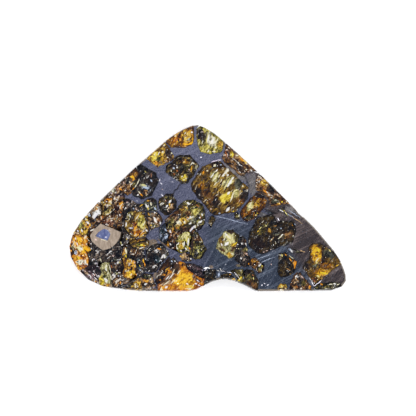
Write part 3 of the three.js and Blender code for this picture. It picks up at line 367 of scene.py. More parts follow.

# stone: tint, painted light through it from 0 to 1, contrast, share of painted white cleavage glints, size of
# a plate in mm, direction of the streaks in degrees and their stretch
# patches on it: tint, gain in painted light, x, y, half length and half width in mm, turn in degrees
crystalLooks = {
    "olivine_apex_left": (("amber", 0.74, 0.65, 0.05, 1.5, 60, 1.6), [
        ("orange", -0.05, -6.6, 13.8, 1.2, 0.8, 40), ("gold", 0.15, -4.6, 14.5, 0.9, 1.2, 0),
        ("greyGreen", 0.0, -4.2, 13.7, 0.4, 0.4, 0),
    ]),
    "olivine_apex_right": (("lemon", 0.72, 0.65, 0.08, 1.3, 68, 2.2), [
        ("umber", -0.35, -1.7, 14.9, 1.0, 1.3, 10), ("olive", -0.15, -1.2, 13.0, 0.7, 1.0, 0),
        ("cream", 0.25, 0.5, 13.4, 0.9, 1.7, 20), ("gold", 0.15, 2.3, 12.7, 0.6, 1.0, 0),
        ("brown", -0.15, 3.1, 12.5, 0.4, 0.7, 0),
    ]),
    "olivine_upper_left_edge": (("gold", 0.78, 0.7, 0.06, 1.3, 40, 1.4), [
        ("yellow", 0.20, -10.6, 10.2, 1.0, 1.4, -20), ("green", -0.05, -10.2, 9.6, 0.5, 0.6, 0),
        ("orange", 0.15, -10.5, 8.9, 0.8, 0.35, -30), ("umber", -0.30, -8.0, 10.6, 0.8, 1.6, 15),
        ("brown", -0.10, -8.5, 9.3, 0.6, 0.5, 0),
    ]),
    "olivine_round_upper": (("khaki", 0.42, 1.0, 0.04, 1.2, 50, 1.5), [
        ("amber", 0.15, -5.1, 9.35, 1.0, 0.5, 5), ("yellow", 0.35, -5.2, 6.0, 1.0, 0.6, -15),
        ("olive", 0.05, -4.4, 8.0, 0.9, 0.9, 0), ("umber", -0.15, -7.2, 8.4, 0.7, 1.0, 0),
    ]),
    "olivine_largest": (("honey", 0.56, 0.6, 0.05, 1.3, 52, 2.6), [
        ("umber", -0.20, 1.6, 8.6, 1.6, 0.7, -20), ("brown", -0.10, 0.6, 1.6, 1.3, 1.0, 50),
        ("amber", 0.05, -1.4, 4.4, 0.8, 0.9, 0),
        ("umber", -0.15, -2.0, 2.6, 0.9, 1.7, 15), ("brown", -0.05, -0.5, 3.0, 0.9, 0.9, 0),
        ("pale", 0.10, 1.2, 6.2, 1.3, 1.0, 50), ("pale", 0.20, 3.9, 5.2, 1.6, 0.8, 50),
        ("yellow", 0.60, 3.4, 2.1, 1.7, 0.95, 52), ("pale", 0.15, 5.3, 3.0, 0.6, 1.1, -10),
        ("greyGreen", 0.00, 5.8, 4.9, 0.9, 1.1, 0), ("umber", -0.25, 7.2, 2.4, 0.8, 1.6, -15),
        ("amber", 0.00, 6.3, 1.4, 0.8, 0.8, 0), ("umber", -0.25, 1.5, 1.3, 0.7, 0.9, 0),
    ]),
    "olivine_right_edge_upper": (("brown", 0.60, 0.7, 0.08, 1.0, -40, 1.6), [
        ("redBrown", -0.05, 3.5, 10.9, 0.6, 0.8, 0), ("yellow", 0.25, 4.6, 10.7, 0.5, 0.5, 0),
        ("gold", 0.20, 6.8, 9.8, 1.4, 0.6, -42), ("umber", -0.20, 6.3, 8.0, 1.2, 0.7, -40),
        ("tan", 0.10, 6.9, 6.8, 0.6, 0.4, -30), ("smoke", 0.15, 8.8, 7.3, 0.8, 0.6, -40),
    ]),
    "olivine_right_edge_lower": (("brown", 0.64, 0.7, 0.07, 1.0, -35, 1.5), [
        ("gold", 0.15, 11.3, 5.4, 0.8, 1.2, -20), ("umber", -0.20, 12.4, 4.2, 0.9, 1.2, -30),
        ("tan", 0.05, 14.0, 2.4, 0.7, 0.5, -35), ("greyGreen", -0.10, 13.2, 1.3, 0.7, 0.5, 0),
        ("amber", 0.15, 13.8, 0.6, 0.8, 0.3, -10),
    ]),
    "olivine_oval": (("amber", 0.50, 0.6, 0.02, 1.4, 55, 1.6), [
        ("pale", 0.30, 8.2, 0.2, 1.2, 0.6, 55), ("gold", 0.05, 9.7, 0.6, 0.7, 1.0, -10),
        ("umber", -0.25, 10.3, 2.3, 1.2, 0.6, -20), ("olive", -0.10, 8.0, -2.0, 1.1, 0.5, 10),
    ]),
    "olivine_oval_sliver": (("olive", 0.55, 1.0, 0.05, 0.8, 0, 1.0), []),
    "olivine_shoulder_dark": (("smoke", 0.26, 1.0, 0.03, 1.4, 60, 1.4), [
        ("greyGreen", 0.40, -13.3, 4.3, 1.0, 0.6, -20), ("blueGrey", 0.40, -12.5, 3.9, 1.0, 0.8, 0),
        ("brown", 0.05, -12.7, 3.1, 0.6, 0.6, 0), ("moss", 0.05, -12.9, 7.1, 0.6, 0.5, 0),
    ]),
    "olivine_shoulder_amber": (("brown", 0.48, 1.0, 0.04, 1.1, 55, 1.4), [
        ("amber", 0.10, -14.9, 7.0, 0.8, 0.5, 45), ("sun", 0.25, -15.1, 6.1, 0.5, 0.5, 0),
        ("olive", 0.05, -14.9, 5.0, 0.5, 1.0, -30), ("smoke", -0.10, -16.2, 5.3, 0.5, 0.6, 0),
        ("brown", -0.10, -15.9, 4.2, 0.6, 0.6, 0),
    ]),
    "olivine_small_dark": (("khaki", 0.36, 1.0, 0.04, 1.0, 70, 1.4), [
        ("brown", 0.15, -7.4, 0.3, 0.6, 0.9, 0), ("olive", 0.10, -8.2, 2.1, 0.7, 0.4, 0),
    ]),
    "olivine_diagonal_upper": (("olive", 0.58, 0.8, 0.08, 1.1, 50, 1.8), [
        ("gold", 0.15, -5.4, -0.6, 0.5, 1.1, 0), ("lemon", 0.15, -2.8, -0.8, 0.6, 0.75, 0),
        ("gold", 0.20, -5.4, -3.0, 1.4, 0.9, 55), ("cream", 0.25, -6.1, -3.0, 0.4, 0.7, 60),
        ("greyGreen", -0.05, -2.9, -2.6, 0.6, 0.6, 0), ("brown", -0.05, -4.2, -1.2, 0.6, 0.6, 0),
        ("brown", -0.15, -5.2, -4.3, 1.2, 0.4, 25), ("umber", -0.30, -1.8, -4.2, 0.9, 0.6, 30),
    ]),
    "olivine_diagonal_yellow": (("lemon", 0.68, 0.7, 0.08, 1.0, 80, 2.6), [
        ("pale", 0.15, -5.0, -5.7, 1.3, 0.7, 15), ("gold", 0.10, -5.5, -7.4, 0.5, 0.9, 0),
        ("umber", -0.25, -6.7, -7.3, 0.4, 0.8, 0), ("umber", -0.20, -5.0, -8.6, 0.8, 0.3, 0),
    ]),
    "olivine_diagonal_olive": (("olive", 0.50, 1.0, 0.04, 1.1, 60, 1.4), [
        ("brown", -0.10, -2.5, -6.2, 0.9, 0.7, 0), ("green", 0.05, -2.0, -8.6, 0.8, 1.0, 20),
        ("umber", -0.20, -3.4, -7.6, 0.3, 1.2, 0),
    ]),
    "olivine_bead": (("khaki", 0.42, 1.0, 0.02, 1.0, 0, 1.0), []),
    "olivine_pale": (("celery", 0.76, 0.45, 0.04, 1.4, 60, 1.4), [
        ("pale", 0.15, 4.0, -6.3, 0.8, 1.3, 10), ("umber", -0.40, 4.5, -4.8, 0.9, 0.35, -10),
        ("olive", -0.15, 5.4, -6.0, 0.4, 0.9, -10), ("gold", 0.10, 5.0, -7.3, 0.8, 0.4, 35),
        ("brown", -0.15, 4.8, -8.3, 0.9, 0.4, 40), ("brown", -0.25, 2.5, -8.5, 0.8, 0.4, -40),
        ("gold", 0.05, 4.1, -9.5, 0.9, 0.4, 0),
        ("honey", -0.10, 2.4, -6.9, 0.5, 1.1, 0),
    ]),
    "olivine_beside_pale": (("smoke", 0.28, 1.0, 0.04, 1.0, 70, 1.3), [
        ("tan", 0.20, 7.4, -9.2, 0.5, 0.4, 0), ("brown", 0.10, 7.5, -6.8, 0.4, 0.6, 0),
        ("olive", 0.10, 7.2, -8.4, 0.5, 0.5, 0),
    ]),
    "olivine_chain_end": (("brown", 0.42, 1.0, 0.04, 1.0, 45, 1.3), [
        ("amber", 0.05, 9.3, -10.9, 0.8, 0.5, -30), ("olive", -0.10, 10.3, -12.3, 0.8, 0.5, -20),
    ]),
    "olivine_large_dark": (("khaki", 0.37, 0.6, 0.01, 1.1, 50, 1.5), [
        ("umber", -0.05, 9.8, -7.5, 1.4, 1.6, 0), ("olive", 0.15, 10.3, -4.7, 1.2, 0.7, 20),
        ("olive", 0.10, 11.6, -3.7, 1.2, 0.5, -10), ("amber", 0.20, 12.1, -4.6, 0.4, 0.7, 0),
        ("brown", 0.10, 15.8, -5.4, 0.9, 0.7, 0), ("greyGreen", 0.05, 13.4, -5.3, 0.6, 0.5, 0),
    ]),
    "olivine_orange_corner": (("khaki", 0.33, 0.8, 0.02, 1.0, 60, 1.3), [
        ("orange", 0.55, 17.2, -11.3, 0.5, 0.9, 15),
    ]),
    "olivine_right_corner": (("honey", 0.50, 0.5, 0.01, 1.4, 50, 1.4), [
        ("saffron", 0.40, 21.4, -9.3, 1.0, 1.9, 5), ("umber", -0.15, 22.8, -9.8, 0.45, 1.7, 0),
        ("greyGreen", -0.05, 24.0, -9.3, 1.3, 0.9, -40), ("amber", 0.05, 23.4, -11.6, 1.4, 0.6, 0),
        ("umber", -0.15, 19.6, -11.7, 0.6, 0.8, 0), ("greyGreen", 0.05, 20.9, -11.7, 0.5, 0.5, 0),
        ("saffron", 0.40, 22.4, -13.0, 1.9, 0.9, -5), ("redBrown", -0.05, 20.7, -14.5, 0.4, 0.6, 20),
        ("gold", 0.10, 22.0, -14.3, 0.7, 0.4, 0),
    ]),
    "olivine_lower_right_brown": (("brown", 0.48, 1.0, 0.05, 1.0, 60, 1.3), [
        ("smoke", 0.10, 18.3, -13.9, 0.6, 0.6, 0), ("tan", 0.10, 17.3, -14.8, 0.5, 0.8, 20),
        ("olive", -0.05, 18.6, -15.1, 0.7, 0.6, 0), ("orange", 0.15, 20.1, -15.9, 0.5, 0.5, 0),
    ]),
    "olivine_lower_right_edge": (("olive", 0.42, 1.0, 0.06, 0.8, 10, 1.6), [
        ("cream", 0.20, 25.0, -15.3, 1.2, 0.3, 0),
    ]),
    "olivine_lower_edge_bead": (("gold", 0.62, 1.0, 0.05, 0.8, 0, 1.2), []),
    "olivine_notch_right": (("khaki", 0.46, 0.7, 0.01, 1.3, 70, 1.4), [
        ("olive", 0.10, 8.2, -14.0, 0.8, 0.8, 0), ("brown", 0.00, 8.6, -15.5, 1.2, 0.6, -30),
        ("umber", -0.15, 7.7, -12.9, 0.8, 0.35, 0),
    ]),
    "olivine_notch_middle": (("olive", 0.55, 0.7, 0.02, 1.1, 60, 1.4), [
        ("yellow", 0.35, 6.1, -14.3, 0.5, 0.4, 40),
    ]),
    "olivine_notch_left": (("khaki", 0.52, 1.0, 0.03, 1.0, 30, 1.4), [
        ("gold", 0.20, 4.9, -14.3, 0.6, 0.25, 0),
    ]),
    "olivine_notch_dark": (("khaki", 0.36, 1.0, 0.02, 1.1, 60, 1.3), [
        ("greyGreen", 0.05, -0.3, -13.2, 0.4, 0.5, 0),
    ]),
    "olivine_lower_edge_amber": (("orange", 0.78, 0.45, 0.04, 1.2, 45, 2.2), [
        ("umber", -0.25, -6.8, -12.1, 1.2, 1.1, 0), ("brown", -0.10, -4.6, -11.4, 0.7, 0.6, 0),
        ("sun", 0.22, -5.0, -14.5, 2.5, 1.7, 0), ("tan", -0.05, -8.2, -14.4, 1.8, 0.8, 45),
        ("brown", -0.15, -2.6, -14.3, 1.2, 0.4, -30), ("gold", 0.15, -3.6, -15.7, 1.0, 0.5, 0),
    ]),
    "olivine_lower_dark_wedge": (("plum", 0.34, 1.0, 0.03, 1.0, -30, 1.4), []),
    "olivine_lower_bead": (("smoke", 0.45, 1.0, 0.08, 0.8, 0, 1.0), []),
    "olivine_brown_band": (("brown", 0.34, 0.7, 0.02, 1.0, 55, 2.0), [
        ("brown", 0.20, -9.2, -13.4, 0.6, 0.5, 30), ("amber", 0.20, -8.2, -12.6, 0.5, 0.35, 50),
    ]),
    "olivine_lower_dark": (("smoke", 0.31, 1.0, 0.09, 0.8, 40, 1.3), [
        ("olive", 0.10, -8.4, -9.6, 0.4, 0.6, 0), ("teal", 0.05, -10.4, -10.3, 0.9, 0.8, 0),
        ("umber", 0.05, -11.8, -9.4, 0.6, 1.2, 0),
    ]),
    "olivine_diagonal_brown": (("brown", 0.48, 0.9, 0.06, 0.9, 45, 1.8), [
        ("olive", 0.05, -7.7, -3.2, 0.8, 1.4, -30), ("amber", 0.10, -6.9, -4.6, 0.5, 0.7, 0),
        ("gold", 0.15, -8.2, -7.2, 0.4, 0.5, 0), ("pink", 0.20, -3.2, -4.2, 0.9, 0.4, 50),
    ]),
    "olivine_diagonal_foot": (("tan", 0.48, 1.0, 0.05, 0.8, 20, 1.4), [
        ("amber", 0.10, -5.4, -9.6, 0.5, 0.4, 0),
    ]),
    "olivine_grey_glints": (("blueGrey", 0.38, 1.0, 0.08, 0.8, 60, 1.4), [
        ("teal", -0.05, -9.3, -4.6, 0.5, 0.8, 0), ("sky", 0.30, -8.4, -5.8, 0.6, 0.4, 45),
    ]),
    "olivine_swirl": (("honey", 0.52, 1.0, 0.03, 1.0, 20, 1.6), [
        ("amber", 0.10, -14.3, -6.5, 0.7, 0.5, 0), ("green", 0.15, -14.0, -7.4, 0.6, 0.4, 0),
        ("yellow", 0.40, -13.5, -7.6, 0.5, 0.4, 20),
    ]),
    "olivine_left_amber": (("honey", 0.62, 0.8, 0.07, 1.0, 60, 1.5), [
        ("olive", -0.05, -16.0, -1.6, 0.8, 0.9, 0), ("orange", 0.10, -14.9, -3.8, 0.7, 1.0, 0),
        ("lemon", 0.20, -13.4, -3.0, 0.9, 1.4, 10), ("orange", 0.10, -14.2, -5.2, 1.4, 0.5, 0),
    ]),
    "olivine_grey_green": (("greyGreen", 0.45, 1.0, 0.07, 0.8, 55, 1.6), [
        ("teal", -0.10, -13.0, -0.2, 0.5, 0.5, 0), ("umber", -0.10, -11.4, 1.5, 0.9, 0.4, -20),
    ]),
    "olivine_white_glints": (("tan", 0.46, 1.0, 0.09, 0.8, 60, 1.6), [
        ("greyGreen", 0.05, -12.0, -1.3, 0.6, 0.7, 0), ("olive", 0.00, -10.9, -3.7, 1.0, 0.4, -20),
    ]),
    "olivine_amber_column": (("amber", 0.80, 0.8, 0.07, 1.0, 70, 1.6), [
        ("olive", 0.00, -16.4, -9.9, 0.6, 0.6, 0), ("orange", 0.25, -14.9, -11.2, 0.6, 0.9, 0),
        ("brown", -0.15, -15.9, -11.5, 0.4, 0.4, 0), ("sun", 0.35, -15.4, -13.4, 1.3, 0.8, 0),
    ]),
    "olivine_yellow_green": (("celery", 0.80, 0.6, 0.05, 1.1, 95, 1.6), [
        ("olive", -0.05, -20.8, -12.9, 0.5, 0.6, 0), ("moss", 0.00, -20.8, -13.6, 0.5, 0.25, 0),
        ("yellow", 0.20, -21.3, -14.6, 0.6, 1.2, 0), ("amber", 0.05, -20.3, -15.5, 0.7, 0.3, 0),
    ]),
    "olivine_left_edge_amber": (("orange", 0.90, 0.8, 0.10, 1.0, 100, 1.4), [
        ("sun", 0.25, -25.7, -6.4, 0.7, 0.6, 0), ("brown", -0.15, -24.6, -5.6, 0.8, 0.4, 0),
        ("sun", 0.35, -24.4, -8.4, 0.9, 0.6, 0), ("pale", 0.15, -25.8, -8.2, 0.8, 0.6, 0),
        ("olive", -0.15, -27.2, -8.2, 0.4, 1.2, 0), ("blueGrey", -0.10, -26.7, -9.1, 0.4, 0.6, 0),
        ("cream", 0.20, -25.5, -10.9, 0.9, 0.6, 0), ("rust", -0.05, -24.9, -11.6, 0.9, 0.4, 0),
    ]),
    "olivine_left_edge_pale": (("gold", 0.76, 1.0, 0.07, 1.0, 70, 1.4), [
        ("green", 0.05, -25.7, -3.4, 0.6, 0.7, 0), ("orange", 0.20, -24.1, -3.7, 0.4, 0.5, 0),
        ("teal", -0.10, -23.9, -4.4, 0.4, 0.3, 0), ("tan", 0.05, -26.2, -5.2, 0.5, 0.4, 0),
    ]),
    "olivine_left_edge_glints": (("tan", 0.80, 1.0, 0.16, 0.8, 50, 1.3), [
        ("white", 0.60, -22.3, -1.0, 1.2, 0.6, 50), ("sky", 0.40, -23.8, -1.5, 0.3, 0.3, 0),
        ("orange", 0.20, -22.4, 0.1, 0.5, 0.4, 0), ("plum", -0.10, -23.2, -2.9, 0.6, 0.4, -40),
    ]),
    "olivine_bottom_left_gold": (("gold", 0.66, 1.0, 0.06, 0.8, 60, 1.4), [
        ("olive", -0.15, -15.9, -15.6, 0.8, 0.5, 0), ("amber", 0.10, -14.1, -14.8, 0.6, 0.5, 0),
    ]),
    "olivine_bottom_left_cap": (("tan", 0.52, 1.0, 0.06, 0.8, 40, 1.3), [
        ("moss", -0.10, -12.2, -13.8, 1.2, 0.5, 0), ("orange", 0.20, -12.4, -14.7, 0.9, 0.35, 0),
        ("lilac", 0.10, -10.9, -15.9, 0.6, 0.4, 0),
    ]),
    "olivine_upper_left_brown": (("tan", 0.62, 1.0, 0.10, 0.9, 40, 1.4), [
        ("redBrown", 0.00, -18.2, 3.9, 0.8, 0.6, 40), ("orange", 0.05, -17.6, 3.8, 0.4, 0.5, 0),
        ("cream", 0.40, -19.2, 3.5, 0.5, 0.4, 40), ("plum", -0.15, -17.6, 2.5, 1.4, 0.4, 0),
    ]),
    "olivine_left_tawny": (("honey", 0.64, 1.0, 0.11, 0.8, 50, 1.4), [
        ("orange", 0.10, -20.0, 1.5, 0.9, 0.5, 0), ("umber", -0.35, -19.1, 0.9, 0.3, 0.7, 0),
        ("orange", 0.15, -22.3, 0.1, 0.5, 0.4, 40), ("olive", -0.05, -20.4, -0.6, 0.6, 0.5, 0),
        ("rust", 0.00, -21.8, -1.9, 0.5, 0.5, 0),
    ]),
    "olivine_left_brown": (("brown", 0.52, 1.0, 0.10, 0.8, 60, 1.4), [
        ("orange", 0.10, -17.4, 0.7, 0.5, 1.0, 0), ("redBrown", 0.00, -18.4, -0.2, 0.6, 0.6, 0),
    ]),
    "olivine_above_nodule": (("brown", 0.56, 1.0, 0.10, 0.8, 30, 1.4), [
        ("orange", 0.10, -21.5, -2.2, 0.4, 0.6, 0), ("redBrown", -0.05, -20.0, -3.0, 1.2, 0.5, -20),
        ("teal", -0.10, -18.5, -2.9, 0.5, 1.0, 0),
    ]),
    "olivine_black_gusset": (("smoke", 0.42, 1.2, 0.10, 0.8, 60, 1.4), [
        ("plum", -0.05, -16.2, 1.4, 1.0, 0.5, 0), ("tan", 0.15, -14.8, -0.4, 0.7, 0.4, 0),
    ]),
    "olivine_black_centre": (("smoke", 0.40, 1.25, 0.12, 0.8, 60, 1.4), [
        ("brown", 0.05, -14.9, -9.0, 1.0, 0.8, -40), ("teal", -0.05, -13.9, -11.3, 0.5, 1.2, 0),
        ("plum", 0.05, -12.4, -10.2, 0.4, 1.4, 0),
    ]),
    "olivine_black_under_nodule": (("smoke", 0.40, 1.1, 0.12, 0.8, 30, 1.3), [
        ("pink", 0.15, -19.2, -9.7, 0.4, 0.4, 0), ("greyGreen", 0.00, -18.6, -11.2, 1.0, 1.2, 0),
    ]),
    "olivine_lower_left_brown": (("plum", 0.46, 1.2, 0.12, 0.8, -40, 1.4), [
        ("tan", 0.20, -24.6, -12.7, 1.2, 0.3, -45), ("lilac", 0.05, -22.4, -11.2, 0.7, 0.7, 0),
        ("tan", 0.15, -22.6, -14.9, 0.8, 0.3, -20),
    ]),
    "olivine_black_lower": (("umber", 0.45, 1.2, 0.10, 0.8, 50, 1.4), [
        ("brown", 0.10, -18.5, -14.8, 0.8, 0.7, 0), ("greyGreen", 0.05, -18.3, -13.3, 0.5, 0.4, 0),
    ]),
}
